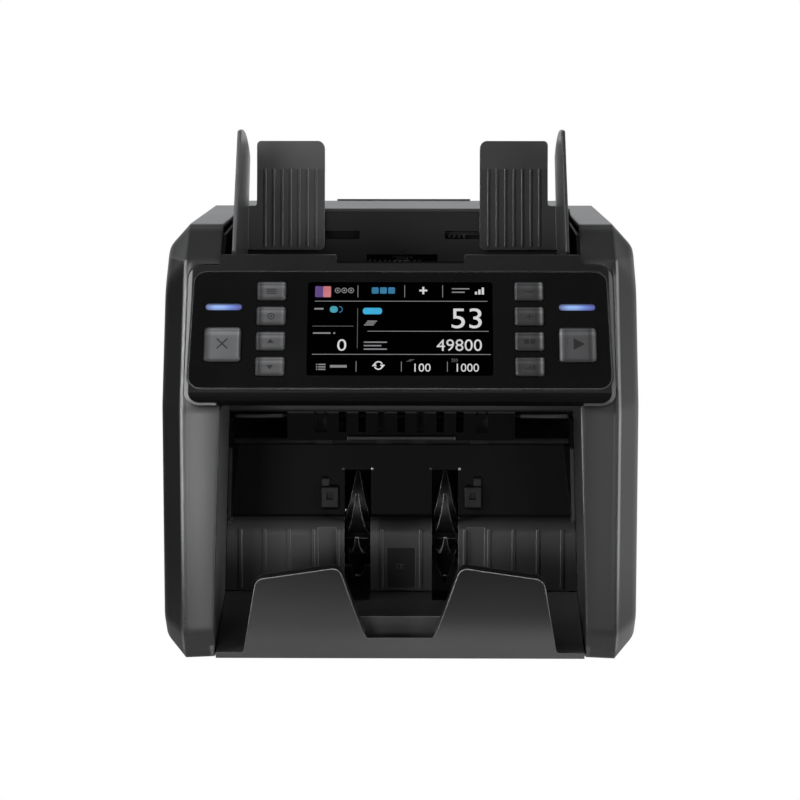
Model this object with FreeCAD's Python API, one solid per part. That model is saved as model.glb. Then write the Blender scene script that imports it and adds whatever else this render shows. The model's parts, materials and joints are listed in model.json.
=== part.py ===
import FreeCAD, Part
import math
import os

# Banknote counting machine. Millimetres, +Z up, front towards -Y.
# Heights are measured from the casing's underside. The finished pieces are lifted by the
# height of the feet, so the origin lies on the table under the middle of the machine.

Vector = FreeCAD.Vector

# Clearances, stock and how far cutting tools reach past the work
gap = 0.3
press_gap = 0.02
run_gap = 0.05
mesh_gap = 0.35
wall = 2.5
sheet = 1.5
past = 200.0

# Casing envelope, seen from the side
case_top = 252.0
case_rear = 127.0
roof_fall = 2.0
skirt_y = -118.0
skirt_z = 18.0
front_y = -130.0
brow_y = -125.0
brow_z = 150.0
crown_y = -89.0
crown_z = 231.0
roof_y = -58.0
toe = 8.0
toe_z = 10.0
section_radii = [3, 9, 14, 28, 10, 8, 5, 3]

# Casing widths: swept side strips, and pillars that dish in towards the pocket
half_width = 139.8
strip_width = 13.2
front_sweep = 18.0
crown_sweep = 9.0
roof_sweep = 3.6
rear_sweep = 6.0
shoulder_drop = 14.5
skirt_rise = 10.0
edge_round = 3.0
pillar_head = 21.7
pillar_foot = 16.6
pillar_dish = 4.0
frame_room = 32.6
floor_reach = 21.5
well_lap = 0.7
shoulder_x = half_width - strip_width
mouth_half_low = shoulder_x - pillar_foot
mouth_half_high = shoulder_x - pillar_head
dish_x = mouth_half_high - 3
frame_x = half_width - frame_room
floor_half = half_width - floor_reach
well_half = frame_x - well_lap
rear_half = well_half - gap

# Casing openings and the screw bosses inside
mouth_top = 148.7
pocket_wall = 2.0
pocket_wall_rear = -46.0
well_front = -60.0
well_sill_z = 225.0
well_rim_z = 246.0
floor_setback = 6.0
floor_rim = 1.0
boss_places = [(-46, 197), (100, 156), (103, 26), (-28, 26)]
boss_radius = 4.0

# Feet and base plate
foot_height = 4.0
foot_radius = 10.0
foot_taper = 1.0
stud_radius = 3.0
foot_inset = 18.0
foot_front = -92.0
foot_rear = 104.0
flange_front = -8.0
flange_rear = 92.0
flange_high = 26.0

# Panel housing and the sloped control panel
housing_reveal = 2.4
housing_half = shoulder_x - housing_reveal
housing_low = 152.0
housing_shoulder = 230.5
housing_round = 9.0
chin_y = -130.3
chin_z = 156.5
chin_rake = 7.0
panel_foot_z = 161.5
lip_y = -88.4
lip_z = 236.3
lip_dip_z = 232.0
lip_dip_half = 37.0
lip_dip_run = 1.2
lip_width = 3.0
throat_y = -57.0
throat_z = 186.0
throat_window = 28.0
fascia_reveal = 1.2
fascia_half = housing_half - fascia_reveal
fascia_taper = 1.9
fascia_low = 1.0
fascia_high = 75.3
fascia_round = 8.0
fascia_back = -1.7
fascia_front = 0.9
fascia_bevel = 0.6
recess_back = -2.0
panel_mount_back = -4.5
board_front = -6.6
board_thick = 1.6
board_margin = 3.5
window_margin = 5.0
window_rim = 4.5
mount_radius = 2.0

# Display, keys and light bars, in the panel's own plane
screen_width = 107.6
screen_height = 58.4
screen_mid = 38.8
screen_front = 0.5
screen_round = 1.4
display_bezel = 3.5
display_rim = 0.9
small_key = (17.0, 11.7, 2.0)
large_key = (21.5, 21.4, 2.6)
key_row_top = 62.0
key_row_pitch = 15.7
key_row_count = 4
small_key_share = 0.27
large_key_share = 0.694
large_key_v = 28.4
key_top = 3.1
key_bevel = 1.4
key_flange = 1.0
key_travel = 0.8
key_stem = 0.5
key_stem_radius = 2.0
switch_pad = 6.0
light_size = (20.8, 3.8)
light_v = 52.2
light_front = 1.1

# Stacker pocket: front tray
tray_mid = (-128.4, 24.0)
tray_top = (-129.9, 60.0)
tray_thick = 2.4
tongue_depth = 12.0
tray_round = 6.0
notch_half = 19.3
notch_z = 14.2
notch_splay = 2.5
notch_step = 5.0
tongue_in = (35.2, 57.7)
tongue_out_z = 50.7
tongue_out_inset = 26.0
tongue_foot_inset = 17.6
sill_z = 4.0
sill_inset = 1.0
deck = 2.0
floor_z = 23.3
floor_slot = 22.0
floor_front = -109.0
floor_rear = -47.0
plateau_inset = 30.0

# Stacker pocket: back plate, sensors and exit comb
slot_in = 19.0
slot_out = 35.2
slot_high = 96.5
rib_first = 39.2
rib_edge = 5.6
rib_count = 5
rib_width = 1.6
rib_proud = 1.0
centre_rib = 12.0
ledge_z = 66.0
ledge_fall = 1.5
back_foot_y = -46.5
back_foot = 0.5
rib_foot = 2.0
channel_in = 40.3
channel_out = 51.4
channel_depth = 1.6
ledge_front_y = -45.0
ledge_rear_y = -33.0
back_top = (-26.0, 112.0)
return_wall = 2.0
flare_inset = 4.6
return_top = (-31.0, 132.0)
recess_half = 8.8
recess_low = 25.5
recess_high = 50.6
recess_depth = 1.4
eye_in = 39.5
eye_out = 49.5
eye_low = 72.0
eye_mid = 87.5
eye_high = 92.5
eye_tab = 4.5
eye_hole = (4.4, 78.9, 83.2)
eye_depth = 4.0
lens_z = 39.0
lens_step = 1.6
lens_radius = 0.8
comb_front = -44.0
comb_depth = 6.0
comb_half = 70.0
comb_low = 118.0
comb_lip_half = 33.0
comb_lip_high = 3.0
comb_lip_out = 1.5
beam_low = 135.5
beam_high = 146.5
beam_proud = 1.6
beam_round = 2.4
hanger_x = 49.6
hanger_width = 4.6
hanger_low = 130.5
comb_pitch = 12.0
comb_slot = 4.6
comb_side_slot = 7.3
comb_slot_rise = 5.0

# Hopper
wall_foot = (8.0, 190.0)
wall_head = (22.0, 254.0)
hopper_front = (-27.0, 178.4)
tray_side = 2.2
tray_side_high = 247.5
cheek_low = 191.0
cheek_mid = 229.0
cheek_off = 0.6
tray_half = frame_x - gap
window_out = 1.0
pinion_window = (22.5, 33.0, 37.5)

# Note guides, in the plane of the hopper's rear wall
guide_travel = 30.0
guide_slot_v = 49.9
guide_slot_half = 2.5
guide_slot_end = 1.0
guide_room = 7.5
blade_x = tray_half - tray_side - guide_room
blade_thick = 2.5
blade_lean = 1.2
blade_pivot_z = 250.0
blade_foot = (-58.0, 204.0)
blade_nose = (-80.0, 238.0)
blade_tip = (-46.5, 307.3)
blade_rear_z = 288.0
blade_crest = 6.0
plate_in = 49.0
plate_low = 40.0
plate_high = 109.3
plate_bend = 91.5
plate_lean = 2.2
plate_off = 0.4
notch_room = 5.2
notch_low = 68.2
guide_ribs = 7
guide_rib_edge = 5.4
guide_rib_width = 1.0
guide_rib_proud = 0.8
lug_half = 4.0
lug_mid = 62.0

# Guide rack and pinion
module = 1.0
pinion_teeth = 16
pressure = math.radians(20.0)
addendum = 0.8
dedendum = 1.15
pinion_bore = 2.5
rack_body = 4.0
rack_near = -3.0
rack_layer = 3.4
rack_spare = 0.4
rack_end = 14.0
rack_teeth_spare = 12.0
keeper_half = 72.0
keeper_thick = 2.0
keeper_leg = 2.5
keeper_below = 18.0
keeper_above = 15.0

# Top cover
cover_gap = 0.5
cover_rise = 3.0

# Transport shafts, rollers and side frames
feed_at = (-14.0, 168.0)
split_at = (-41.0, 159.0)
drum_at = (75.0, 132.0)
exit_at = (-20.0, 130.0)
pinch_at = (-16.0, 111.5)
stack_at = (-20.0, 58.0)
motor_at = (85.0, 45.0)
feed_radius = 16.0
split_radius = 12.0
drum_radius = 20.0
exit_radius = 12.0
pinch_radius = 6.0
feed_bands = [(10.0, 34.0), (58.0, 76.0)]
split_bands = [(10.0, 34.0)]
drum_bands = [(8.0, 30.0), (52.0, 84.0)]
exit_bands = [(6.0, 16.0), (43.0, 54.0)]
shaft_radius = 4.0
pin_radius = 3.0
shaft_over = 4.3
bush_wall = 3.0
bush_flange = 1.5
frame_outline = [(-29, 9), (-29, 108), (-45, 112), (-45, 150), (-56, 156), (-56, 206),
                 (60, 206), (112, 160), (112, 9)]
frame_round = 4.0
tie_places = [(45, 192), (101, 92), (38, 30)]
tie_radius = 4.0

# Drive: pulleys on the left, one belt, motor on the left frame
pulley_offset = 9.8
pulley_width = 8.0
pulley_flange = 0.9
pulley_lip = 0.6
pulley_end = 2.0
tooth_radius = 0.5
feed_teeth = 28
drum_teeth = 28
exit_teeth = 28
stack_teeth = 40
motor_teeth = 16
belt_thick = 1.6
motor_radius = 20.0
motor_length = 55.0
motor_seat = 0.1
motor_shaft_radius = 2.5
motor_bore = 22.0
motor_cap = 6.0
motor_cap_length = 5.0
pilot_radius = 11.0

# Stacker wheels
wheel_radius = 36.0
wheel_hub = 9.0
wheel_mid = 27.2
wheel_width = 14.0
wheel_tip_width = 2.0
wheel_shoulder = 15.0
wheel_blades = 8
wheel_phase = math.radians(12.0)
blade_root = 1.5
blade_sweep = math.radians(58.0)
blade_belly = 0.4
blade_root_turn = 0.42
blade_mid_turn = 0.11
blade_tip_turn = 0.03

# Transport bed, turn guides and sensor bars
bed_top = 150.0
bed_front = -24.0
bed_rear = 53.0
bar_front = 14.0
bar_rear = 32.0
bar_low_z = 136.0
bar_end_z = 145.0
bar_high_z = 153.5
bar_high_end_z = 158.0
bar_high_top = 168.0
bar_end_step = 3.0
bar_high_shift = 2.0
bar_margin = 7.0
guide_radius = 23.0
guide_thick = 2.0
guide_run = 3.0
door_split = math.radians(-36.0)
door_split_gap = 0.03
door_guide_end = math.radians(80.0)

# Rear door, hinge and rear panel
door_low = 72.3
door_high = 249.0
door_lip = 253.9
door_lip_half = 45.0
door_webs = [30.0, 80.0]
door_web = 2.0
door_web_front = 14.0
door_web_low = 10.0
door_web_high = 16.0
hinge_at = (128.0, 72.0)
hinge_radius = 3.0
hinge_pin = 1.5
hinge_room = 0.5
hinge_leaf = 4.0
knuckle_a = 50.0
knuckle_b = 60.0
knuckle_c = 70.0
knuckle_d = 80.0
panel_rise = 1.0
vent_first = -90.0
vent_pitch = 9.0
vent_count = 5
vent_width = 4.0
vent_low = 50.0
vent_high = 62.0

# Mains inlet, switch and data sockets
inlet_inset = 31.2
inlet_x = rear_half - inlet_inset
inlet_z = 36.0
inlet_size = (27.0, 20.0)
inlet_depth = 20.0
inlet_flange = (32.0, 24.0, 2.0)
socket_half = (12.0, 8.0)
socket_chamfer = 4.0
socket_depth = 15.0
contact_places = [(-7, -2), (0, 2), (7, -2)]
contact_size = (2.0, 4.0)
contact_set = 7.0
switch_step = 35.0
switch_x = inlet_x - switch_step
switch_size = (13.0, 19.0)
switch_wall = 2.0
switch_edge = 4.0
switch_lip = 1.2
switch_depth = 11.0
switch_floor = 2.0
switch_room = 0.8
rocker_y = 121.0
rocker_tilt = 7.0
rocker_rise = 7.5
rocker_dip = 1.5
rocker_drop = 5.0
rocker_short = 1.0
axle_radius = 1.5
axle_reach = 1.2
port_list = [(-32.0, 16.0, 13.5), (-62.0, 14.0, 12.0)]
port_z = 26.0
port_wall = 1.0
port_depth = 15.0
port_socket = 9.0
port_proud = 0.6

# Boards and supply
card_off = 5.0
card_front = -18.0
card_rear = 60.0
card_low = 56.0
card_high = 148.0
card_posts = [(-10, 70), (-6, 98), (52, 62), (52, 108)]
card_post_radius = 3.0
card_blocks = [(5, 30, 110, 135, 4), (36, 56, 118, 140, 9), (0, 50, 76, 92, 3), (30, 50, 64, 72, 11)]
supply_in = 14.0
supply_room = 7.2
supply_front = 46.0
supply_rear = 100.0
supply_high = 44.0
supply_vent_low = 30.0
supply_vent_edge = 8.0
supply_vent_pitch = 8.0
supply_vent_width = 4.0

parts = {}


def lift_x(x):
    return lambda y, z: Vector(x, y, z)


def lift_y(y):
    return lambda x, z: Vector(x, y, z)


def lift_z(z):
    return lambda x, y: Vector(x, y, z)


lifts = {"x": lift_x, "y": lift_y, "z": lift_z}
axes = {"x": Vector(1, 0, 0), "y": Vector(0, 1, 0), "z": Vector(0, 0, 1)}


def unit(a, b):
    length = math.hypot(b[0] - a[0], b[1] - a[1])
    return ((b[0] - a[0]) / length, (b[1] - a[1]) / length)


def outline(points, radii, lift):
    # Closed wire through the points, each corner rounded by its own radius.
    starts = []
    ends = []
    mids = []
    count = len(points)
    for i, p in enumerate(points):
        radius = radii[i]
        d1 = unit(p, points[i - 1])
        d2 = unit(p, points[(i + 1) % count])
        if radius <= 0:
            starts.append(p)
            ends.append(p)
            mids.append(None)
            continue
        half = math.acos(max(-1.0, min(1.0, d1[0] * d2[0] + d1[1] * d2[1]))) / 2
        run = radius / math.tan(half)
        reach = radius / math.sin(half) - radius
        turn = unit((0, 0), (d1[0] + d2[0], d1[1] + d2[1]))
        starts.append((p[0] + d1[0] * run, p[1] + d1[1] * run))
        ends.append((p[0] + d2[0] * run, p[1] + d2[1] * run))
        mids.append((p[0] + turn[0] * reach, p[1] + turn[1] * reach))
    edges = []
    for i in range(count):
        if mids[i] is not None:
            arc = Part.Arc(lift(*starts[i]), lift(*mids[i]), lift(*ends[i]))
            edges.append(arc.toShape())
        edges.append(Part.LineSegment(lift(*ends[i]), lift(*starts[(i + 1) % count])).toShape())
    return Part.Wire(edges)


def prism(points, radii, axis, start, end):
    # Straight prism along one axis; one radius may stand for all corners.
    if not isinstance(radii, list):
        radii = [radii] * len(points)
    face = Part.Face(outline(points, radii, lifts[axis](start)))
    return face.extrude(axes[axis] * (end - start))


def block(x0, x1, y0, y1, z0, z1):
    return Part.makeBox(x1 - x0, y1 - y0, z1 - z0, Vector(x0, y0, z0))


def rod(at, radius, start, end):
    # Cylinder along X through the point (y, z).
    return Part.makeCylinder(radius, end - start, Vector(start, at[0], at[1]), axes["x"])


def tube(at, outer, inner, start, end):
    return rod(at, outer, start, end).cut(rod(at, inner, start, end))


def rectangle(mid, half):
    # Corners of a rectangle about a middle point.
    (u, v), (a, b) = mid, half
    return [(u - a, v - b), (u + a, v - b), (u + a, v + b), (u - a, v + b)]


def pad(u, v, width, height, radius, n0, n1):
    # Rounded rectangular prism in a local plane, standing along local Z.
    return prism(rectangle((u, v), (width / 2, height / 2)), radius, "z", n0, n1)


def inset(points, depth):
    # Offsets a clockwise or counter-clockwise convex polygon towards its inside.
    area = 0
    count = len(points)
    for i, p in enumerate(points):
        q = points[(i + 1) % count]
        area += p[0] * q[1] - q[0] * p[1]
    side = depth if area > 0 else -depth
    moved = []
    for i, p in enumerate(points):
        d1 = unit(points[i - 1], p)
        d2 = unit(p, points[(i + 1) % count])
        n1 = (-d1[1] * side, d1[0] * side)
        n2 = (-d2[1] * side, d2[0] * side)
        scale = 1 + (d1[0] * d2[0] + d1[1] * d2[1])
        moved.append((p[0] + (n1[0] + n2[0]) / scale, p[1] + (n1[1] + n2[1]) / scale))
    return moved


def strip(points, thick):
    # Polygon of a bent sheet: the line given and its copy offset to the left.
    offset = []
    for i, p in enumerate(points):
        d1 = unit(points[i - 1], p) if i > 0 else unit(p, points[1])
        d2 = unit(p, points[i + 1]) if i < len(points) - 1 else d1
        scale = 1 + (d1[0] * d2[0] + d1[1] * d2[1])
        shift_y = -(d1[1] + d2[1]) / scale * thick
        shift_z = (d1[0] + d2[0]) / scale * thick
        offset.append((p[0] + shift_y, p[1] + shift_z))
    return list(points) + offset[::-1]


def join(shapes):
    return shapes[0].multiFuse(shapes[1:]).removeSplitter()


def mirror(shape):
    return shape.mirror(Vector(0, 0, 0), axes["x"])


def both(shape):
    return [shape, mirror(shape)]


def put(name, shape):
    parts[name] = shape


# Local planes: u across, v up the slope, n out of the face towards the front
panel_tilt = math.degrees(math.atan2(lip_y - chin_y, lip_z - panel_foot_z))
wall_lean = math.degrees(math.atan2(wall_head[0] - wall_foot[0], wall_head[1] - wall_foot[1]))


def on_panel(shape):
    turn = FreeCAD.Rotation(axes["x"], 90 - panel_tilt)
    return shape.transformed(FreeCAD.Placement(Vector(0, chin_y, panel_foot_z), turn).toMatrix())


def on_wall(shape):
    turn = FreeCAD.Rotation(axes["x"], 90 - wall_lean)
    return shape.transformed(FreeCAD.Placement(Vector(0, wall_foot[0], wall_foot[1]), turn).toMatrix())


# Casing: ruled loft through side outlines, with a smaller copy taken out

def casing_section(x, share, dish, depth):
    # Side outline at x. The share is how far out along the swept strip it stands.
    front = front_sweep * share + dish
    crown = crown_sweep * share
    roof = roof_sweep * share
    rear = rear_sweep * share
    drop = shoulder_drop * share
    rise = skirt_rise * share
    points = [
        (skirt_y + front, rise),
        (front_y + front, skirt_z + rise / 2),
        (brow_y + front, brow_z),
        (crown_y + crown, crown_z - drop),
        (roof_y + roof, case_top - drop),
        (case_rear - rear, case_top - roof_fall - drop),
        (case_rear - rear, toe_z + rise),
        (case_rear - toe - rear, rise),
    ]
    return outline(inset(points, depth), section_radii, lift_x(x))


def casing(depth, rim_turns):
    # Rim turns are the steps, in quarter turns, by which the outer rim is rounded off.
    wires = []
    for side in (-1, 1):
        row = []
        for turn in rim_turns:
            out = edge_round * (1 - math.sin(turn * math.pi / 2))
            back = edge_round * (1 - math.cos(turn * math.pi / 2))
            share = 1 - out / strip_width
            row.append(casing_section(side * (half_width - out), share, 0, back))
        if not row:
            row.append(casing_section(side * (half_width - depth), 1, 0, depth))
        row.append(casing_section(side * (shoulder_x - depth / 2), 0, 0, depth))
        row.append(casing_section(side * dish_x, 0, pillar_dish, depth))
        wires += row if side < 0 else row[::-1]
    return Part.makeLoft(wires, True, True)


def mouth_half(z):
    return mouth_half_low + (mouth_half_high - mouth_half_low) * z / brow_z


def mouth(clear, low, high):
    a = mouth_half(low) - clear
    b = mouth_half(high) - clear
    return [(-a, low), (-b, high), (b, high), (a, low)]


outer_case = casing(0, [1, 0.6, 0.3, 0])
shell = outer_case.cut(casing(wall, []))
housing_gap_half = housing_half + gap
housing_face = [
    (-housing_gap_half, housing_low - gap),
    (-housing_gap_half, housing_shoulder + gap),
    (housing_gap_half, housing_shoulder + gap),
    (housing_gap_half, housing_low - gap),
]
shell = shell.cut([
    prism(mouth(0, -past, housing_low), 0, "y", -past, well_front),
    prism(housing_face, housing_round, "y", -past, well_front),
    block(-well_half, well_half, -past, past, well_sill_z, past * 2),
    block(-well_half, well_half, well_front - 1, past, -past, past * 2),
    block(-floor_half, floor_half, skirt_y + floor_setback, past, -past, wall + floor_rim),
])
cover = shell.common(block(-past, 0, -past, past, -past, past * 2))
cheek = [
    (-mouth_half(wall), wall),
    (-mouth_half(mouth_top), mouth_top),
    (-mouth_half(mouth_top) - pocket_wall, mouth_top),
    (-mouth_half(wall) - pocket_wall, wall),
]
cheek_wall = prism(cheek, 0, "y", -past, pocket_wall_rear).common(outer_case)
boss_foot = frame_x + sheet + gap / 2
bosses = [rod(at, boss_radius, -half_width + wall / 2, -boss_foot) for at in boss_places]
cover = join([cover, cheek_wall] + bosses)
put("left_side_cover", cover)
put("right_side_cover", mirror(cover))

# Base plate with side flanges, on four feet
base_half = floor_half - gap
base_front = skirt_y + floor_setback + gap
flange_x = frame_x + sheet
foot_x = base_half - foot_inset
base = [block(-base_half, base_half, base_front, case_rear - wall - gap, 0, sheet)]
for x in (-flange_x - sheet, flange_x):
    base.append(block(x, x + sheet, flange_front, flange_rear, 0, flange_high))
base = join(base)
feet = []
for x in (-foot_x, foot_x):
    for y in (foot_front, foot_rear):
        under = Vector(x, y, -foot_height)
        tread = Part.makeCone(foot_radius - foot_taper, foot_radius, foot_height, under)
        feet.append(join([tread, Part.makeCylinder(stud_radius, foot_height + sheet, under)]))
        base = base.cut(Part.makeCylinder(stud_radius + press_gap, past, under))
put("base_plate", base)
put("rubber_feet", Part.makeCompound(feet))

# Side frames with bushes for every shaft
main_shafts = [feed_at, drum_at, exit_at, stack_at]
light_shafts = [split_at, pinch_at]
frame = prism(frame_outline, frame_round, "x", frame_x, frame_x + sheet)
bushes = []
for places, radius in ((main_shafts, shaft_radius), (light_shafts, pin_radius)):
    for at in places:
        body = radius + bush_wall
        frame = frame.cut(rod(at, body + press_gap, 0, past))
        sleeve = rod(at, body, frame_x, frame_x + sheet)
        collar = rod(at, body + bush_flange, frame_x + sheet, frame_x + sheet + bush_flange)
        bushes.append(join([sleeve, collar]).cut(rod(at, radius + run_gap, 0, past)))
put("right_side_frame", frame)
put("left_side_frame", mirror(frame).cut(rod(motor_at, pilot_radius + press_gap, -past, 0)))
put("shaft_bearings", Part.makeCompound(bushes + [mirror(b) for b in bushes]))
put("tie_bars", Part.makeCompound([rod(at, tie_radius, -frame_x, frame_x) for at in tie_places]))

# Front tray: convex front plate with two tongues, and the raised pocket floor
tray_arc = [(skirt_y, 0), tray_mid, tray_top]


def tray_plate(thick):
    # Bowed plate across the front, thickened towards the rear.
    outer = Part.Arc(*[Vector(-past, y, z) for y, z in tray_arc])
    inner = Part.Arc(*[Vector(-past, y + thick, z) for y, z in tray_arc])
    edges = [outer.toShape(), inner.toShape()]
    for y, z in (tray_arc[0], tray_arc[2]):
        edges.append(Part.LineSegment(Vector(-past, y, z), Vector(-past, y + thick, z)).toShape())
    return Part.Face(Part.Wire(Part.__sortEdges__(edges))).extrude(axes["x"] * past * 2)


sill_x = mouth_half_low - sill_inset
half_tongue = [
    (notch_half, notch_z),
    (notch_half + notch_splay, notch_z + notch_step),
    tongue_in,
    (mouth_half_low - tongue_out_inset, tongue_out_z),
    (mouth_half_low - tongue_foot_inset, sill_z),
    (sill_x, sill_z),
    (sill_x, 0),
]
tongue_radii = [0.8, tray_round, tray_round, tray_round, 2, 0, 0]
tongues = [(-x, z) for x, z in half_tongue[::-1]] + half_tongue
tongue_shape = prism(tongues, tongue_radii[::-1] + tongue_radii, "y", -past, 0)
tongue_backs = tray_plate(tongue_depth).common(tongue_shape)
tongue_backs = tongue_backs.common(block(-past, past, -past, 0, notch_z + tray_thick, past))
tray_low = sheet + gap
kick = tray_low + deck
kick_y = skirt_y + deck / 2
plateau_half = mouth_half_low - plateau_inset
tray = [
    tray_plate(tray_thick).common(tongue_shape),
    tongue_backs,
    block(-plateau_half, plateau_half, floor_front, floor_rear, floor_z - deck, floor_z),
    block(-plateau_half, plateau_half, floor_front, floor_front + deck, tray_low, floor_z),
    block(-plateau_half, plateau_half, kick_y, floor_front + deck / 2, tray_low, kick),
]
ramp = [(kick_y, tray_low), (kick_y, kick), (floor_rear, floor_z), (floor_rear, floor_z - deck)]
ramp_out = mouth_half(floor_z) - gap
for side in both(prism(ramp, 0, "x", plateau_half - deck / 2, ramp_out)):
    tray.append(side)
floor_cuts = both(block(slot_in, slot_out, floor_rear - floor_slot, 0, floor_z - 2 * deck, floor_z + deck))
put("front_tray", join(tray).cut(floor_cuts))

# Stacker back plate: ledge with ribs below, leaning wall with two wheel slots above
back_low = (back_foot_y, floor_z + back_foot)
ledge_front = (ledge_front_y, ledge_z)
ledge_rear = (ledge_rear_y, ledge_z + ledge_fall)
back_line = [back_low, ledge_front, ledge_rear, back_top]
back = prism(strip(back_line[::-1], wall), [0, 3, 9, 0, 0, 7, 5, 0], "x", -past, past)
pocket_sides = prism(mouth(gap, 0, return_top[1]), 0, "y", -past, past)
inner_sides = prism(mouth(gap + return_wall, 0, return_top[1]), 0, "y", -past, past)
cheek_end = pocket_wall_rear + gap
returns = [(ledge_front_y + gap, ledge_z), (cheek_end, ledge_z + wall), (cheek_end, return_top[1]),
           return_top, back_top, ledge_rear]
returns = prism(returns, 0, "x", -past, past).common(pocket_sides).cut(inner_sides)
lean = (back_top[0] - ledge_rear_y) / (back_top[1] - ledge_rear[1])


def wall_y(z):
    return ledge_rear_y + (z - ledge_rear[1]) * lean


def flare_face(z, half):
    # Corner filled between the cheek's end and the leaning wall at one height.
    side = mouth_half(z) - gap
    corner = [(side, cheek_end), (half, wall_y(z) + wall / 2), (side, wall_y(z) + wall / 2)]
    return Part.makePolygon([Vector(x, y, z) for x, y in corner + corner[:1]])


flare_low = ledge_rear[1] + wall
flare = Part.makeLoft([flare_face(flare_low, mouth_half(flare_low) - gap - return_wall),
                       flare_face(back_top[1], mouth_half_high - flare_inset)], True, True)
slots = both(block(slot_in, slot_out, -past, past, 0, slot_high))
channel = [(back_foot_y - wall, floor_z), (back_foot_y + channel_depth, floor_z),
           (ledge_front_y + channel_depth, ledge_z + 2 * wall), (ledge_front_y - wall, ledge_z + 2 * wall)]
slots += both(prism(channel, 0, "x", channel_in, channel_out))
rib_line = [(back_foot_y - rib_proud, back_low[1] + rib_foot),
            (ledge_front_y - rib_proud, ledge_z - 4 * rib_proud)]
rib_face = strip(rib_line[::-1], 2 * rib_proud)
rib_last = mouth_half_high - rib_edge
rib_pitch = (rib_last - rib_first) / (rib_count - 1)
back_ribs = []
for x in [centre_rib] + [rib_first + k * rib_pitch for k in range(rib_count)]:
    back_ribs += both(prism(rib_face, 0, "x", x - rib_width / 2, x + rib_width / 2))
back = join([back.common(pocket_sides).cut(slots), returns] + both(flare) + back_ribs)
lens_seat = back_foot_y + recess_depth
back = back.cut(block(-recess_half, recess_half, -past, lens_seat, recess_low, recess_high))
put("stacker_back_plate", back)

# Sensor brackets on the leaning wall and the twin lens block in the middle recess
def bracket(low, high, depth, left, right):
    side = [(wall_y(low), low), (wall_y(high), high), (wall_y(high) - depth, high - 1),
            (wall_y(low) - depth, low + 2)]
    return prism(side, [0, 0, 1, 1], "x", left, right)


eye = join([bracket(eye_low, eye_mid, eye_depth, eye_in, eye_out),
            bracket(eye_low, eye_high, eye_depth / 2, eye_out - eye_tab, eye_out)])
hole_width, hole_low, hole_high = eye_hole
hole_x = (eye_in + eye_out) / 2
eye = eye.cut(block(hole_x - hole_width / 2, hole_x + hole_width / 2, -past, wall_y(hole_low) - eye_depth / 4,
                    hole_low, hole_high))
lens_half = (lens_step + 2 * lens_radius, 2 * lens_radius)
lens = [prism(rectangle((0, lens_z), lens_half), lens_radius / 2, "y", lens_seat - lens_radius, lens_seat)]
for x in (-lens_step, lens_step):
    lens.append(Part.makeSphere(lens_radius, Vector(x, lens_seat - lens_radius, lens_z)))
put("stacker_sensors", Part.makeCompound(both(eye) + [join(lens)]))

# Exit comb: upper beam with hangers, slotted plate and a rounded lip
comb_back = comb_front + wall
beam_front = comb_front - beam_proud
beam = [(beam_front, beam_low), (comb_front + comb_depth, beam_low),
        (comb_front + comb_depth, beam_high), (beam_front, beam_high)]
lip = [(comb_front - comb_lip_out, comb_low), (comb_back, comb_low),
       (comb_back, comb_low + comb_lip_high), (comb_front - comb_lip_out, comb_low + comb_lip_high)]
lip_round = comb_lip_high * 0.4
comb = [
    prism(beam, [beam_round, 0, 0, 0], "x", -frame_x + gap, frame_x - gap),
    block(-comb_half, comb_half, comb_front, comb_back, comb_low, beam_low + lip_round),
    prism(lip, [lip_round, 0, 0, lip_round], "x", -comb_lip_half, comb_lip_half),
]
comb = join(comb)
comb_reach = [(k * comb_pitch, comb_slot) for k in range(-3, 4)]
comb_reach += [(-hanger_x, comb_side_slot), (hanger_x, comb_side_slot)]
for x, width in comb_reach:
    comb = comb.cut(block(x - width / 2, x + width / 2, -past, past, comb_low + comb_slot_rise, beam_low))
hangers = both(block(hanger_x - hanger_width / 2, hanger_x + hanger_width / 2, comb_front, comb_back,
                     hanger_low, beam_low + lip_round))
put("exit_comb", join([comb] + hangers))

# Panel housing: sloped front, chin below, hopper front wall behind
housing_side = [
    (chin_y + chin_rake, housing_low),
    (chin_y, chin_z),
    (chin_y, panel_foot_z),
    (lip_y, lip_z),
    (lip_y + lip_width, lip_z),
    (throat_y, throat_z),
    (throat_y, housing_low),
]
housing_half_face = [
    (0, lip_dip_z),
    (lip_dip_half, lip_dip_z),
    (lip_dip_half + lip_dip_run, lip_z + 1),
    (rear_half, lip_z + 1),
    (rear_half, housing_shoulder),
    (housing_half, housing_shoulder),
    (housing_half, housing_low),
    (0, housing_low),
]
half_radii = [0, lip_dip_run, lip_dip_run, 2, 0, 8, housing_round, 0]
half_face = prism(housing_half_face, half_radii, "y", -past, past)
housing = prism(housing_side, [3, 4, 6, 1, 1, 12, 3], "x", -past, past)
housing = housing.common(join(both(half_face)))
hollow = prism(inset(housing_side, wall), 0, "x", -housing_half + wall, housing_half - wall)
hollow = hollow.common(block(-past, past, -past, past, 0, housing_shoulder - wall))
housing = housing.cut(hollow)
window_half = fascia_half - window_margin
window_low = fascia_low + window_rim
window_high = fascia_high - window_rim
window_mid = (window_low + window_high) / 2


def fascia_plate(grow, n0, n1):
    # The panel's outline, a little narrower at its upper edge.
    a = fascia_half + grow
    b = fascia_half - fascia_taper + grow
    low = fascia_low - grow
    high = fascia_high + grow
    return prism([(-a, low), (a, low), (b, high), (-b, high)], fascia_round + grow, "z", n0, n1)


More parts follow.
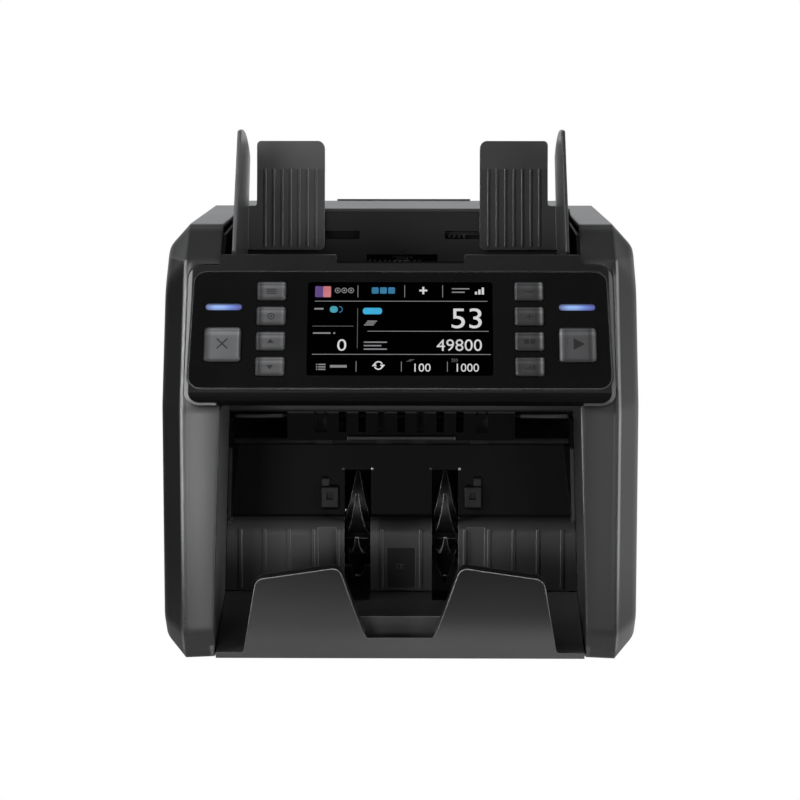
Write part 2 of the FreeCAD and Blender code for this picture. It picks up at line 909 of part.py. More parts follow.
mounts = []
for u in (-window_half + 2 * mount_radius, window_half - 2 * mount_radius):
    for v in (window_low - window_rim / 2, window_high + window_rim / 2):
        foot = Vector(u, v, board_front)
        mounts.append(Part.makeCylinder(mount_radius, recess_back - board_front - 1, foot))
thick_front = fascia_plate(-1, panel_mount_back, recess_back)
housing = join([housing, on_panel(thick_front)] + [on_panel(m) for m in mounts])
housing = housing.cut([
    on_panel(fascia_plate(gap, recess_back, past)),
    on_panel(pad(0, window_mid, 2 * window_half, window_high - window_low, 3, panel_mount_back - 1, 0)),
    block(-housing_half + throat_window, housing_half - throat_window, throat_y - wall - 1, throat_y + 1,
          housing_low + 2 * wall, throat_z - 6 * wall),
])
put("panel_housing", housing)

# Control panel, display, light bars and the key board behind them
fascia = fascia_plate(0, fascia_back, fascia_front)
fascia_rim = [e for e in fascia.Edges if abs(e.BoundBox.ZMin - fascia_front) < 0.01]
fascia = fascia.makeChamfer(fascia_bevel, fascia_rim)
holes = [pad(0, screen_mid, screen_width + gap, screen_height + gap, screen_round + gap / 2, -past, past)]
display_half = screen_width / 2 + display_bezel
screen = join([
    pad(0, screen_mid, screen_width - gap, screen_height - gap, screen_round, recess_back - 1, screen_front),
    pad(0, screen_mid, 2 * display_half, screen_height + 2 * display_rim, 1, board_front + gap, recess_back),
])
board_low = fascia_low + board_margin
board_high = fascia_high - gap
board_half = fascia_half - board_margin
board = [pad(0, (board_low + board_high) / 2, 2 * board_half, board_high - board_low, 3,
             board_front - board_thick, board_front)]
key_space = fascia_half - display_half
small_key_u = display_half + key_space * small_key_share
large_key_u = display_half + key_space * large_key_share
key_places = []
for i in range(key_row_count):
    v = key_row_top - i * key_row_pitch
    key_places.append(("left_key_%d" % (i + 1), -small_key_u, v, small_key))
    key_places.append(("right_key_%d" % (i + 1), small_key_u, v, small_key))
key_places.append(("left_large_key", -large_key_u, large_key_v, large_key))
key_places.append(("right_large_key", large_key_u, large_key_v, large_key))
flange_low = recess_back - key_flange
for name, u, v, (width, height, radius) in key_places:
    holes.append(pad(u, v, width + 2 * gap, height + 2 * gap, radius + gap, -past, past))
    cap = pad(u, v, width, height, radius, recess_back - key_flange / 2, key_top)
    top_edges = [e for e in cap.Edges if abs(e.BoundBox.ZMin - key_top) < 0.01]
    cap = cap.makeChamfer(key_bevel, top_edges)
    skirt = pad(u, v, width + 2 * key_flange, height + 2 * key_flange, radius + key_flange,
                flange_low, recess_back)
    stem = Part.makeCylinder(key_stem_radius, key_stem + key_flange, Vector(u, v, flange_low - key_stem))
    put(name, on_panel(join([cap, skirt, stem])))
    switch_top = flange_low - key_stem - key_travel - gap
    board.append(pad(u, v, switch_pad, switch_pad, 0.8, board_front - board_thick / 2, switch_top))
lights = []
for u in (-large_key_u, large_key_u):
    width, height = light_size
    round_end = height / 2 - 0.05
    holes.append(pad(u, light_v, width + gap, height + gap, round_end + gap / 2, -past, past))
    lights.append(pad(u, light_v, width, height, round_end, board_front, light_front))
put("control_panel", on_panel(fascia.cut(holes)))
put("display_module", on_panel(screen))
put("key_board", on_panel(join(board)))
put("light_bars", on_panel(Part.makeCompound(lights)))

# Hopper tray: leaning rear wall, sloped floor with roller windows, side walls
tray_line = [hopper_front, wall_foot, wall_head]
tray_sheet = prism(strip(tray_line[::-1], wall), [2, 8, 0, 0, 8, 0], "x", -tray_half, tray_half)
front_lean = (lip_y + lip_width - throat_y) / (lip_z - throat_z)


def front_wall_y(z):
    return throat_y + front_lean * (z - throat_z) + cheek_off


tray_cheek = [
    (wall_head[0], tray_side_high),
    (wall_foot[0] + 1, wall_foot[1] - 1),
    (hopper_front[0], hopper_front[1] - 1),
    (front_wall_y(cheek_low), cheek_low),
    (front_wall_y(cheek_mid), cheek_mid),
    (roof_y - 3, well_rim_z),
]
hopper = [tray_sheet]
hopper += both(prism(tray_cheek, [0, 0, 0, 4, 2, 4], "x", tray_half - tray_side, tray_half))
pitch_radius = module * pinion_teeth / 2
post_v = guide_slot_v - pitch_radius
post_depth = rack_near - 2 * rack_layer - rack_spare
post_end = Vector(0, post_v, post_depth)
hopper.append(on_wall(Part.makeCylinder(pinion_bore, -post_depth + wall / 2 - 1, post_end)))
hopper = join(hopper)
tray_cuts = []
for a, b in feed_bands:
    tray_cuts += both(block(a - window_out, b + window_out, feed_at[0] - feed_radius,
                            feed_at[0] + feed_radius + 2 * window_out, feed_at[1], wall_foot[1] + 2))
slot_near = lug_mid - lug_half - guide_travel - guide_slot_end
slot_far = lug_mid + lug_half + guide_slot_end
tray_cuts += [on_wall(s) for s in both(block(slot_near, slot_far, guide_slot_v - guide_slot_half,
                                             guide_slot_v + guide_slot_half, -3 * wall, 3 * wall))]
window_u, window_v0, window_v1 = pinion_window
tray_cuts.append(on_wall(block(-window_u, window_u, window_v0, window_v1, -wall - 1, 3 * wall)))
tray_cuts += both(block(rear_half, past, -past, past, well_rim_z, past * 2))
put("hopper_tray", hopper.cut(tray_cuts))

# Note guides: ribbed rear plate, tall side blade, lug through the slot and a rack behind
rack_pitch = math.pi * module


def rack_teeth(first, last, pitch_v, up, n0, n1):
    # Straight-flanked teeth; a gap is centred at u = 0.
    base = pitch_v - up * dedendum
    teeth = []
    k = math.ceil(first / rack_pitch - 0.5)
    while (k + 0.5) * rack_pitch < last:
        mid = (k + 0.5) * rack_pitch
        half = rack_pitch / 4 - mesh_gap / 2
        low = half + dedendum * math.tan(pressure)
        high = half - addendum * math.tan(pressure)
        tip = pitch_v + up * addendum
        quad = [(mid - low, base), (mid + low, base), (mid + high, tip), (mid - high, tip)]
        teeth.append(prism(quad, 0, "z", n0, n1))
        k += 1
    return teeth


def note_guide(low_rack):
    # Built for the left side in the wall's plane, racks on the layer asked for.
    bend = [
        (plate_low, plate_off),
        (plate_bend, plate_off),
        (plate_high, plate_off + plate_lean),
        (plate_high, plate_off + plate_lean + wall),
        (plate_bend, plate_off + wall),
        (plate_low, plate_off + wall),
    ]
    outer = blade_x + blade_thick / 2
    notch_out = blade_x - notch_room
    sheet_wire = outline(bend, [0.6, 0, 0.8, 0.8, 0, 0.6], lambda v, n: Vector(-outer, v, n))
    back_plate = Part.Face(sheet_wire).extrude(axes["x"] * (outer - plate_in))
    front = [(-outer, plate_low), (-plate_in, plate_low), (-plate_in, plate_high),
             (-notch_out, plate_high), (-notch_out, notch_low), (-outer, notch_low)]
    back_plate = back_plate.common(prism(front, [0, 4, 5, 3, 1.5, 0], "z", -past, past))
    pieces = [back_plate]
    rib_pitch = (notch_out - plate_in - 2 * guide_rib_edge) / (guide_ribs - 1)
    for k in range(guide_ribs):
        x = -plate_in - guide_rib_edge - k * rib_pitch
        pieces.append(block(x - guide_rib_width / 2, x + guide_rib_width / 2, plate_low + wall, plate_bend,
                            plate_off + wall / 2, plate_off + wall + guide_rib_proud))
    lug_high = guide_slot_half - gap
    near = rack_near if low_rack else rack_near - rack_layer - rack_spare
    far = near - rack_layer
    start = -lug_mid - lug_half
    pieces.append(block(start, start + 2 * lug_half, guide_slot_v - lug_high, guide_slot_v + lug_high,
                        far, plate_off + wall / 2))
    if low_rack:
        line = post_v - pitch_radius
        bar_low = line - dedendum - rack_body
        bar_high = line - dedendum
        arm = (bar_low, guide_slot_v + lug_high)
    else:
        line = post_v + pitch_radius
        bar_low = line + dedendum
        bar_high = line + dedendum + rack_body
        arm = (guide_slot_v - lug_high, bar_high)
    pieces.append(block(start, start + 2 * lug_half, arm[0], arm[1], far, near))
    pieces.append(block(start, rack_end, bar_low, bar_high, far, near))
    up = 1 if low_rack else -1
    pieces += rack_teeth(-guide_travel - rack_teeth_spare, rack_end - 1, line, up, far, near)
    return on_wall(join(pieces))


def guide_face_y(z):
    # Rear edge of the side blade, just off the leaning wall.
    return wall_foot[0] + (z - wall_foot[1]) * math.tan(math.radians(wall_lean)) - plate_off


blade_rear = (guide_face_y(blade_rear_z), blade_rear_z)
blade_heel = (guide_face_y(blade_foot[1]), blade_foot[1])
chord = unit(blade_tip, blade_rear)
crest = ((blade_tip[0] + blade_rear[0]) / 2 - chord[1] * blade_crest,
         (blade_tip[1] + blade_rear[1]) / 2 + chord[0] * blade_crest)
blade_edges = [Part.Arc(Vector(0, *blade_tip), Vector(0, *crest), Vector(0, *blade_rear)).toShape()]
path = [blade_rear, blade_heel, blade_foot, blade_nose, blade_tip]
for a, b in zip(path, path[1:]):
    blade_edges.append(Part.LineSegment(Vector(0, *a), Vector(0, *b)).toShape())
blade = Part.Face(Part.Wire(blade_edges)).extrude(axes["x"] * blade_thick)
blade.translate(Vector(-blade_x - blade_thick, 0, 0))
blade = blade.makeFillet(blade_thick * 0.4, [e for e in blade.Edges if e.BoundBox.XLength < 0.01
                                             and e.BoundBox.ZMax > blade_nose[1] + 2
                                             and e.BoundBox.YMin < blade_rear[0] - 1])
blade.rotate(Vector(-blade_x, 0, blade_pivot_z), axes["y"], blade_lean)
put("left_note_guide", join([note_guide(True), blade]))
put("right_note_guide", join([mirror(note_guide(False)), mirror(blade)]))


def involute(base_radius, radius):
    turn = math.sqrt((radius / base_radius) ** 2 - 1)
    return turn - math.atan(turn)


def pinion():
    base_radius = pitch_radius * math.cos(pressure)
    root = pitch_radius - dedendum
    tip = pitch_radius + addendum
    half = math.pi / (2 * pinion_teeth) - mesh_gap / 2 / pitch_radius
    ref = involute(base_radius, pitch_radius)
    radii = [base_radius + 0.01, (base_radius + tip) / 2, tip]
    flank = [(r, half + ref - involute(base_radius, r)) for r in radii]
    flank = [(root, flank[0][1])] + flank
    points = []
    for k in range(pinion_teeth):
        mid = 2 * math.pi * k / pinion_teeth + math.pi / 2
        for r, a in flank:
            points.append((r * math.cos(mid - a), r * math.sin(mid - a)))
        for r, a in flank[::-1]:
            points.append((r * math.cos(mid + a), r * math.sin(mid + a)))
    gear = prism(points, 0, "z", post_depth, rack_near)
    gear = gear.cut(Part.makeCylinder(pinion_bore + run_gap, past, Vector(0, 0, -past / 2)))
    gear.translate(Vector(0, post_v, 0))
    return on_wall(gear)


put("guide_pinion", pinion())
keeper_back = post_depth - gap
keeper_low = post_v - keeper_below
keeper_high = post_v + keeper_above
keeper = [block(-keeper_half, keeper_half, keeper_low, keeper_high, keeper_back - keeper_thick, keeper_back)]
keeper += both(block(keeper_half - keeper_leg, keeper_half, keeper_low, keeper_high,
                     keeper_back - keeper_thick / 2, -wall - gap / 2))
put("rack_keeper", on_wall(join(keeper)))

# Top cover between the side covers, behind the hopper
roof_front = wall_head[0] + wall + cover_gap
roof_rear = case_rear - wall - gap
roof_top = case_top + cover_rise
roof = [
    (roof_front, well_rim_z),
    (roof_front, roof_top),
    (roof_rear, roof_top - roof_fall),
    (roof_rear, roof_top - roof_fall - wall),
    (roof_front + wall, roof_top - wall),
    (roof_front + wall, well_rim_z),
]
put("top_cover", prism(roof, [0, 2, 1.5, 0, 0.5, 0], "x", -rear_half, rear_half))

# Shafts with pulleys, and their rollers
pulley_in = frame_x + pulley_offset
pulley_out = pulley_in + pulley_width
groove_in = pulley_in + pulley_flange
groove_out = pulley_out - pulley_flange
shaft_end = frame_x + shaft_over


def pulley(at, teeth):
    radius = teeth * tooth_radius
    return [
        rod(at, radius, -pulley_out, -pulley_in),
        rod(at, radius + belt_thick + pulley_lip, -pulley_out, -groove_out),
        rod(at, radius + belt_thick + pulley_lip, -groove_in, -pulley_in),
    ]


def driven_shaft(at, teeth):
    return join([rod(at, shaft_radius, -pulley_out - pulley_end, shaft_end)] + pulley(at, teeth))


def rollers(at, radius, core, bands):
    made = []
    for a, b in bands:
        made += both(tube(at, radius, core + press_gap, a, b))
    return Part.makeCompound(made)


put("feed_shaft", driven_shaft(feed_at, feed_teeth))
put("feed_rollers", rollers(feed_at, feed_radius, shaft_radius, feed_bands))
put("drum_shaft", driven_shaft(drum_at, drum_teeth))
put("drum_rollers", rollers(drum_at, drum_radius, shaft_radius, drum_bands))
put("exit_shaft", driven_shaft(exit_at, exit_teeth))
put("exit_rollers", rollers(exit_at, exit_radius, shaft_radius, exit_bands))
put("stacker_shaft", driven_shaft(stack_at, stack_teeth))
put("separator_shaft", rod(split_at, pin_radius, -shaft_end, shaft_end))
put("separator_roller", rollers(split_at, split_radius, pin_radius, split_bands))
pinch = [rod(pinch_at, pin_radius, -shaft_end, shaft_end)]
for a, b in exit_bands:
    pinch += both(rod(pinch_at, pinch_radius, a, b))
put("pinch_rollers", join(pinch))


# Stacker wheels: leaf blades that trail the turn, cut to narrow tips by a double cone

def stacker_wheel():
    def spot(radius, angle):
        return Vector(0, stack_at[0] + radius * math.cos(angle), stack_at[1] + radius * math.sin(angle))

    x0 = wheel_mid - wheel_width / 2
    pieces = [rod(stack_at, wheel_hub, x0, x0 + wheel_width)]
    root = wheel_hub - blade_root
    middle = (root + wheel_radius) / 2
    for k in range(wheel_blades):
        turn = wheel_phase + 2 * math.pi * k / wheel_blades
        belly = turn - blade_sweep * blade_belly
        tip = turn - blade_sweep
        near = [spot(root, turn), spot(middle, belly), spot(wheel_radius, tip)]
        far = [spot(root, turn - blade_root_turn), spot(middle, belly - blade_mid_turn),
               spot(wheel_radius, tip - blade_tip_turn)]
        edges = [
            Part.Arc(*near).toShape(),
            Part.LineSegment(near[2], far[2]).toShape(),
            Part.Arc(*far[::-1]).toShape(),
            Part.LineSegment(far[0], near[0]).toShape(),
        ]
        leaf = Part.Face(Part.Wire(edges)).extrude(axes["x"] * wheel_width)
        leaf.translate(Vector(x0, 0, 0))
        pieces.append(leaf)
    wheel = join(pieces)
    half = wheel_width / 2
    tip_half = wheel_tip_width / 2
    lens_points = [
        (wheel_mid - half, 0),
        (wheel_mid - half, wheel_shoulder),
        (wheel_mid - tip_half, wheel_radius),
        (wheel_mid + tip_half, wheel_radius),
        (wheel_mid + half, wheel_shoulder),
        (wheel_mid + half, 0),
    ]
    half_section = outline(lens_points, [0] * 6, lambda x, r: Vector(x, stack_at[0], stack_at[1] + r))
    spindle = Part.Face(half_section).revolve(Vector(0, stack_at[0], stack_at[1]), axes["x"], 360)
    return wheel.common(spindle).cut(rod(stack_at, shaft_radius + press_gap, -past, past))


put("stacker_wheels", Part.makeCompound(both(stacker_wheel())))

# Motor on the left frame, its pulley and the belt round all pulleys
motor_face = frame_x - motor_seat
motor_far = motor_face - motor_length
motor = join([
    rod(motor_at, motor_radius, -motor_face, -motor_far),
    rod(motor_at, pilot_radius, -frame_x - sheet, -motor_face),
    rod(motor_at, motor_radius - motor_cap, -motor_far, -motor_far + motor_cap_length),
])
motor_depth = motor_face - motor_bore
motor = motor.cut(rod(motor_at, motor_shaft_radius + run_gap, -past, -motor_depth))
put("main_motor", motor)
rotor = rod(motor_at, motor_shaft_radius, -pulley_out - pulley_end, -motor_depth - gap)
put("motor_pulley", join([rotor] + pulley(motor_at, motor_teeth)))


def belt_wire(clear):
    # Outline of a belt pulled tight round the pulleys, listed anticlockwise.
    wheels = [(motor_at, motor_teeth), (drum_at, drum_teeth), (feed_at, feed_teeth),
              (exit_at, exit_teeth), (stack_at, stack_teeth)]
    circles = [(at, teeth * tooth_radius + clear) for at, teeth in wheels]
    spans = []
    for i, (a, ra) in enumerate(circles):
        b, rb = circles[(i + 1) % len(circles)]
        reach = math.hypot(b[0] - a[0], b[1] - a[1])
        heading = math.atan2(b[1] - a[1], b[0] - a[0])
        spans.append(heading - math.acos((ra - rb) / reach))
    edges = []
    count = len(circles)

    def spot(i, angle):
        at, radius = circles[i]
        return Vector(0, at[0] + radius * math.cos(angle), at[1] + radius * math.sin(angle))

    for i in range(count):
        come = spans[i - 1]
        leave = spans[i]
        while leave < come:
            leave += 2 * math.pi
        edges.append(Part.Arc(spot(i, come), spot(i, (come + leave) / 2), spot(i, leave)).toShape())
        edges.append(Part.LineSegment(spot(i, leave), spot((i + 1) % count, leave)).toShape())
    return Part.Wire(edges)


belt_faces = Part.Face(belt_wire(gap + belt_thick)).cut(Part.Face(belt_wire(gap)))
belt = belt_faces.extrude(axes["x"] * (groove_out - groove_in - 2 * gap))
belt.translate(Vector(-groove_out + gap, 0, 0))
put("drive_belt", belt)

# Transport bed, return guide and the two sensor bars
bed_half = frame_x - gap
bar_half = bed_half - bar_margin
bed = block(-bed_half, bed_half, bed_front, bed_rear, bed_top - sheet, bed_top)
bed = bed.cut(block(-bar_half - gap, bar_half + gap, bar_front - gap, bar_rear + gap, 0, past))
put("transport_bed", bed)
lower_bar = [block(-bar_half, bar_half, bar_front, bar_rear, bar_low_z, bed_top),
             block(-bed_half, bed_half, bar_front + bar_end_step, bar_rear - bar_end_step,
                   bar_low_z, bar_end_z)]
upper_front = bar_front - bar_high_shift
upper_rear = bar_rear - bar_high_shift
upper_bar = [block(-bar_half, bar_half, upper_front, upper_rear, bar_high_z, bar_high_top),
             block(-bed_half, bed_half, upper_front + bar_end_step, upper_rear - bar_end_step,
                   bar_high_end_z, bar_high_top)]
put("sensor_bars", Part.makeCompound([join(lower_bar), join(upper_bar)]))
guide_outer = guide_radius + guide_thick


def drum_spot(radius, angle):
    return (drum_at[0] + radius * math.cos(angle), drum_at[1] + radius * math.sin(angle))


low_wedge = [drum_at, (drum_at[0], drum_at[1] - past), drum_spot(past * 2, door_split - door_split_gap)]
turn_guide = tube(drum_at, guide_outer, guide_radius, -bed_half, bed_half)
low_turn = turn_guide.common(prism(low_wedge, 0, "x", -past, past))
run = block(-bed_half, bed_half, pinch_at[0] + pinch_radius + guide_run, drum_at[0],
            drum_at[1] - guide_outer, drum_at[1] - guide_radius)
put("return_guide", join([low_turn, run]))

# Rear door with the outer turn guide, on a pinned hinge over the rear panel
door_in = case_rear - wall
high_wedge = [drum_at, drum_spot(past * 2, door_split), drum_spot(past * 2, door_guide_end / 4),
              drum_spot(past * 2, door_guide_end)]
door_guide = tube(drum_at, guide_outer, guide_radius, -bar_half, bar_half)
door_guide = door_guide.common(prism(high_wedge, 0, "x", -past, past))
door_pieces = [
    block(-rear_half, rear_half, door_in, case_rear, door_low, door_high),
    block(-door_lip_half, door_lip_half, door_in, case_rear, door_high - 1, door_lip),
    door_guide,
]
keep_out = rod(drum_at, guide_radius + guide_thick / 2, -past, past)
for x in door_webs:
    web = block(x - door_web / 2, x + door_web / 2, drum_at[0] + door_web_front, door_in + 1,
                drum_at[1] - door_web_low, drum_at[1] + door_web_high)
    door_pieces += both(web.cut(keep_out))
spans_door = [(knuckle_b + gap, knuckle_c - gap)]
spans_panel = [(knuckle_a, knuckle_b), (knuckle_c, knuckle_d)]


def knuckles(spans, up):
    made = []
    for a, b in spans:
        leaf = block(a, b, door_in, hinge_at[0], *sorted((hinge_at[1], hinge_at[1] + up * hinge_leaf)))
        made += both(join([rod(hinge_at, hinge_radius, a, b), leaf]))
    return made


def knuckle_cuts(spans):
    made = []
    for a, b in spans:
        made += both(rod(hinge_at, hinge_radius + hinge_room, a - gap, b + gap))
    return made


pin_hole = rod(hinge_at, hinge_pin + run_gap, -past, past)
door = join(door_pieces).cut(knuckle_cuts(spans_panel))
put("rear_door", join([door] + knuckles(spans_door, 1)).cut(pin_hole))
put("door_hinge_pins", Part.makeCompound(both(rod(hinge_at, hinge_pin, knuckle_a, knuckle_d))))

# Rear panel with inlet, switch, sockets and vents
panel_high = 2 * hinge_at[1] - door_low
rear_plate = block(-rear_half, rear_half, door_in, case_rear, sheet + panel_rise, panel_high)
rear_plate = rear_plate.cut(knuckle_cuts(spans_door))


def window(x, z, half_w, half_h):
    return block(x - half_w - gap, x + half_w + gap, 0, past, z - half_h - gap, z + half_h + gap)


inlet_half = (inlet_size[0] / 2, inlet_size[1] / 2)
switch_half = (switch_size[0] / 2, switch_size[1] / 2)
switch_body = (switch_half[0] + switch_wall, switch_half[1] + switch_wall)
rear_cuts = [window(inlet_x, inlet_z, *inlet_half), window(switch_x, inlet_z, *switch_body)]
ports = []
for x, width, height in port_list:
    mid_z = port_z + height / 2
    rear_cuts.append(window(x, mid_z, width / 2, height / 2))
    can = block(x - width / 2, x + width / 2, case_rear - port_depth, case_rear + port_proud,
                port_z, port_z + height)
    ports.append(can.cut(block(x - width / 2 + port_wall, x + width / 2 - port_wall, case_rear - port_socket,
                               past, port_z + port_wall, port_z + height - port_wall)))
for k in range(vent_count):
    x = vent_first + k * vent_pitch
    rear_cuts.append(block(x, x + vent_width, 0, past, vent_low, vent_high))
put("rear_panel", join([rear_plate.cut(rear_cuts)] + knuckles(spans_panel, -1)).cut(pin_hole))
put("rear_ports", Part.makeCompound(ports))
flange_w, flange_h, flange_t = inlet_flange
inlet_mid = (inlet_x, inlet_z)
inlet = join([
    prism(rectangle(inlet_mid, inlet_half), 0, "y", case_rear - inlet_depth, case_rear),
    prism(rectangle(inlet_mid, (flange_w / 2, flange_h / 2)), 2, "y", case_rear, case_rear + flange_t),
])
socket_w, socket_h = socket_half
socket = [
    (inlet_x - socket_w, inlet_z - socket_h),
    (inlet_x + socket_w, inlet_z - socket_h),
    (inlet_x + socket_w, inlet_z + socket_h - socket_chamfer),
    (inlet_x + socket_w - socket_chamfer, inlet_z + socket_h),
    (inlet_x - socket_w + socket_chamfer, inlet_z + socket_h),
    (inlet_x - socket_w, inlet_z + socket_h - socket_chamfer),
]
inlet = inlet.cut(prism(socket, 1, "y", case_rear - socket_depth, past))
contact_half = (contact_size[0] / 2, contact_size[1] / 2)
contacts = [prism(rectangle((inlet_x + dx, inlet_z + dz), contact_half), 0, "y",
                  case_rear - socket_depth - 1, case_rear - contact_set) for dx, dz in contact_places]
put("power_inlet", join([inlet] + contacts))
switch_mid = (switch_x, inlet_z)
well = (switch_half[0] + gap, switch_half[1] + switch_room)
bezel = (switch_half[0] + switch_edge, switch_half[1] + switch_edge)
switch = join([
    prism(rectangle(switch_mid, switch_body), 0, "y", rocker_y - switch_depth, case_rear),
    prism(rectangle(switch_mid, bezel), 1, "y", case_rear, case_rear + switch_lip),
])
switch = switch.cut(prism(rectangle(switch_mid, well), 0, "y", rocker_y - switch_depth + switch_floor, past))
axle = (rocker_y, inlet_z)
axle_half = switch_half[0] + axle_reach
switch = switch.cut(rod(axle, axle_radius + run_gap, switch_x - axle_half - gap, switch_x + axle_half + gap))
put("switch_frame", switch)
half_rock = switch_half[1] - rocker_short
rocker = [
    (rocker_y - rocker_drop, inlet_z - rocker_drop),
    (rocker_y + rocker_rise, inlet_z - half_rock),
    (rocker_y + rocker_rise - rocker_dip, inlet_z),
    (rocker_y + rocker_rise, inlet_z + half_rock),
    (rocker_y - rocker_drop, inlet_z + rocker_drop),
]
rocker = prism(rocker, [2, 0.8, 6, 0.8, 2], "x", switch_x - switch_half[0], switch_x + switch_half[0])
rocker = join([rocker, rod(axle, axle_radius, switch_x - axle_half, switch_x + axle_half)])
rocker.rotate(Vector(0, *axle), axes["x"], rocker_tilt)
put("power_rocker", rocker)

# Boards and supply inside
card_x = frame_x + sheet + card_off
card = [block(card_x, card_x + board_thick, card_front, card_rear, card_low, card_high)]
for at in card_posts:
    card.append(rod(at, card_post_radius, frame_x + sheet, card_x + board_thick / 2))
for y0, y1, z0, z1, high in card_blocks:
    card.append(block(card_x + board_thick / 2, card_x + board_thick + high, y0, y1, z0, z1))
put("main_board", join(card))
supply_out = frame_x - supply_room
supply = block(supply_in, supply_out, supply_front, supply_rear, sheet, supply_high)
supply = supply.cut(block(supply_in + sheet, supply_out - sheet, supply_front + sheet, supply_rear - sheet,
                          2 * sheet, supply_high - sheet))
x = supply_in + supply_vent_edge
while x + supply_vent_width < supply_out - supply_vent_edge / 2:
    supply = supply.cut(block(x, x + supply_vent_width, supply_front + supply_vent_edge,
                              supply_rear - supply_vent_edge, supply_vent_low, past))
    x += supply_vent_pitch
put("power_supply", supply)

os.makedirs("parts", exist_ok=True)
for name, shape in parts.items():
    shape.translate(Vector(0, 0, foot_height))
    shape.exportStep("parts/" + name + ".step")
print(len(parts), "parts written")
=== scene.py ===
import json
import math

import bmesh
import bpy
from mathutils import Matrix, Vector


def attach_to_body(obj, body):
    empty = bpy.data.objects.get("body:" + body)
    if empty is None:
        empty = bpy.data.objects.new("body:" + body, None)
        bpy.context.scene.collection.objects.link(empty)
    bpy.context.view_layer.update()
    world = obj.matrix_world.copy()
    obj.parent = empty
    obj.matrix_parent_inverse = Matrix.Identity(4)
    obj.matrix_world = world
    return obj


# Banknote counting machine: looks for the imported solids. Metres, +Z up, front towards -Y.

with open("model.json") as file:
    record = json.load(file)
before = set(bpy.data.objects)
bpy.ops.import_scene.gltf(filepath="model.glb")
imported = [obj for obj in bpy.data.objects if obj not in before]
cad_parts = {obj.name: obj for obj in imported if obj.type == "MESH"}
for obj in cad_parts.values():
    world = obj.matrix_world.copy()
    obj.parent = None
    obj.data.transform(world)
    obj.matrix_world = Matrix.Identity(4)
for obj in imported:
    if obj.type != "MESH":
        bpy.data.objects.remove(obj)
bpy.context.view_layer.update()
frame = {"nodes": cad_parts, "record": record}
nodes = frame["nodes"]
scene = bpy.context.scene

MM = 0.001
QUARTER = math.radians(90)

# Control panel: the foot of its slope and its lean away from the viewer.
# On it u runs across and v up the slope, in millimetres.
PANEL_FOOT = Vector((0.0, -130.3 * MM, 165.5 * MM))
PANEL_LEAN = math.atan2(41.9, 74.8)
PANEL_UP = Vector((0, math.sin(PANEL_LEAN), math.cos(PANEL_LEAN)))
PANEL_OUT = Vector((0, -math.cos(PANEL_LEAN), math.sin(PANEL_LEAN)))
PANEL_TURN = Matrix((Vector((1, 0, 0)), PANEL_UP, PANEL_OUT)).transposed().to_4x4()
PANEL = Matrix.Translation(PANEL_FOOT) @ PANEL_TURN
SCREEN_SIZE = (107.6, 58.4)
SCREEN_MID = 38.8
SCREEN_FRONT = 0.5
KEY_FRONT = 3.1
KEY_ROWS = (62.0, 46.3, 30.6, 14.9)
KEY_PITCH = KEY_ROWS[2] - KEY_ROWS[3]
SMALL_KEY_U = 75.04
SMALL_KEY_HALF = (8.5, 5.85)
LARGE_KEY_U = 102.95
LARGE_KEY_V = 28.4
LARGE_KEY_HALF = (10.75, 10.7)
BETWEEN_KEYS = (88, 90)
LIGHT_U = LARGE_KEY_U
LIGHT_HALF = 10.4
LIGHT_HEIGHTS = (209.3, 213.0)


# Node helpers

def times(values, amount):
    return tuple(value * amount for value in values)


def wire(tree, node, inputs):
    # Gives each input another node's output or a plain value (a colour without its alpha).
    for key, value in inputs.items():
        socket = node.inputs[key]
        if isinstance(value, bpy.types.NodeSocket):
            tree.links.new(value, socket)
        elif socket.type == "RGBA":
            socket.default_value = (*value, 1)
        else:
            socket.default_value = value
    return node


def add(tree, kind, inputs, **settings):
    node = tree.nodes.new(kind)
    for key, value in settings.items():
        setattr(node, key, value)
    return wire(tree, node, inputs)


def new_material(name):
    material = bpy.data.materials.new(name)
    material.use_nodes = True
    tree = material.node_tree
    return material, tree, tree.nodes["Principled BSDF"]


def calculated(tree, operation, *values):
    node = add(tree, "ShaderNodeMath", dict(enumerate(values)), operation=operation)
    return node.outputs["Value"]


def product(tree, first, second):
    return calculated(tree, "MULTIPLY", first, second)


def vector_result(tree, operation, inputs, output="Vector"):
    return add(tree, "ShaderNodeVectorMath", inputs, operation=operation).outputs[output]


def scaled(tree, colour, share):
    return vector_result(tree, "SCALE", {0: colour, "Scale": share})


def remap(tree, source, span, result=(0.0, 1.0), **settings):
    # Maps a span of the source to a span of results, held at both ends.
    inputs = {"Value": source, "From Min": span[0], "From Max": span[1],
              "To Min": result[0], "To Max": result[1]}
    return add(tree, "ShaderNodeMapRange", inputs, **settings).outputs["Result"]


def spread(tree, source, low, high):
    # Maps a 0 to 1 source to a span of values.
    return remap(tree, source, (0.0, 1.0), (low, high))


def ramp_between(tree, source, low, high):
    # Smooth step from 0 at the low value to 1 at the high one.
    return remap(tree, source, (low, high), interpolation_type="SMOOTHSTEP")


# The mix node's value and colour sockets share their names, so they go by number
MIX_VALUES = (2, 3)
MIXED_VALUE = 0
MIX_COLOURS = (6, 7)
MIXED_COLOUR = 2


def mix_values(tree, factor, *pair):
    inputs = {"Factor": factor, **dict(zip(MIX_VALUES, pair))}
    return add(tree, "ShaderNodeMix", inputs, data_type="FLOAT").outputs[MIXED_VALUE]


def mix_colours(tree, factor, *pair):
    inputs = {"Factor": factor, **dict(zip(MIX_COLOURS, pair))}
    return add(tree, "ShaderNodeMix", inputs, data_type="RGBA").outputs[MIXED_COLOUR]


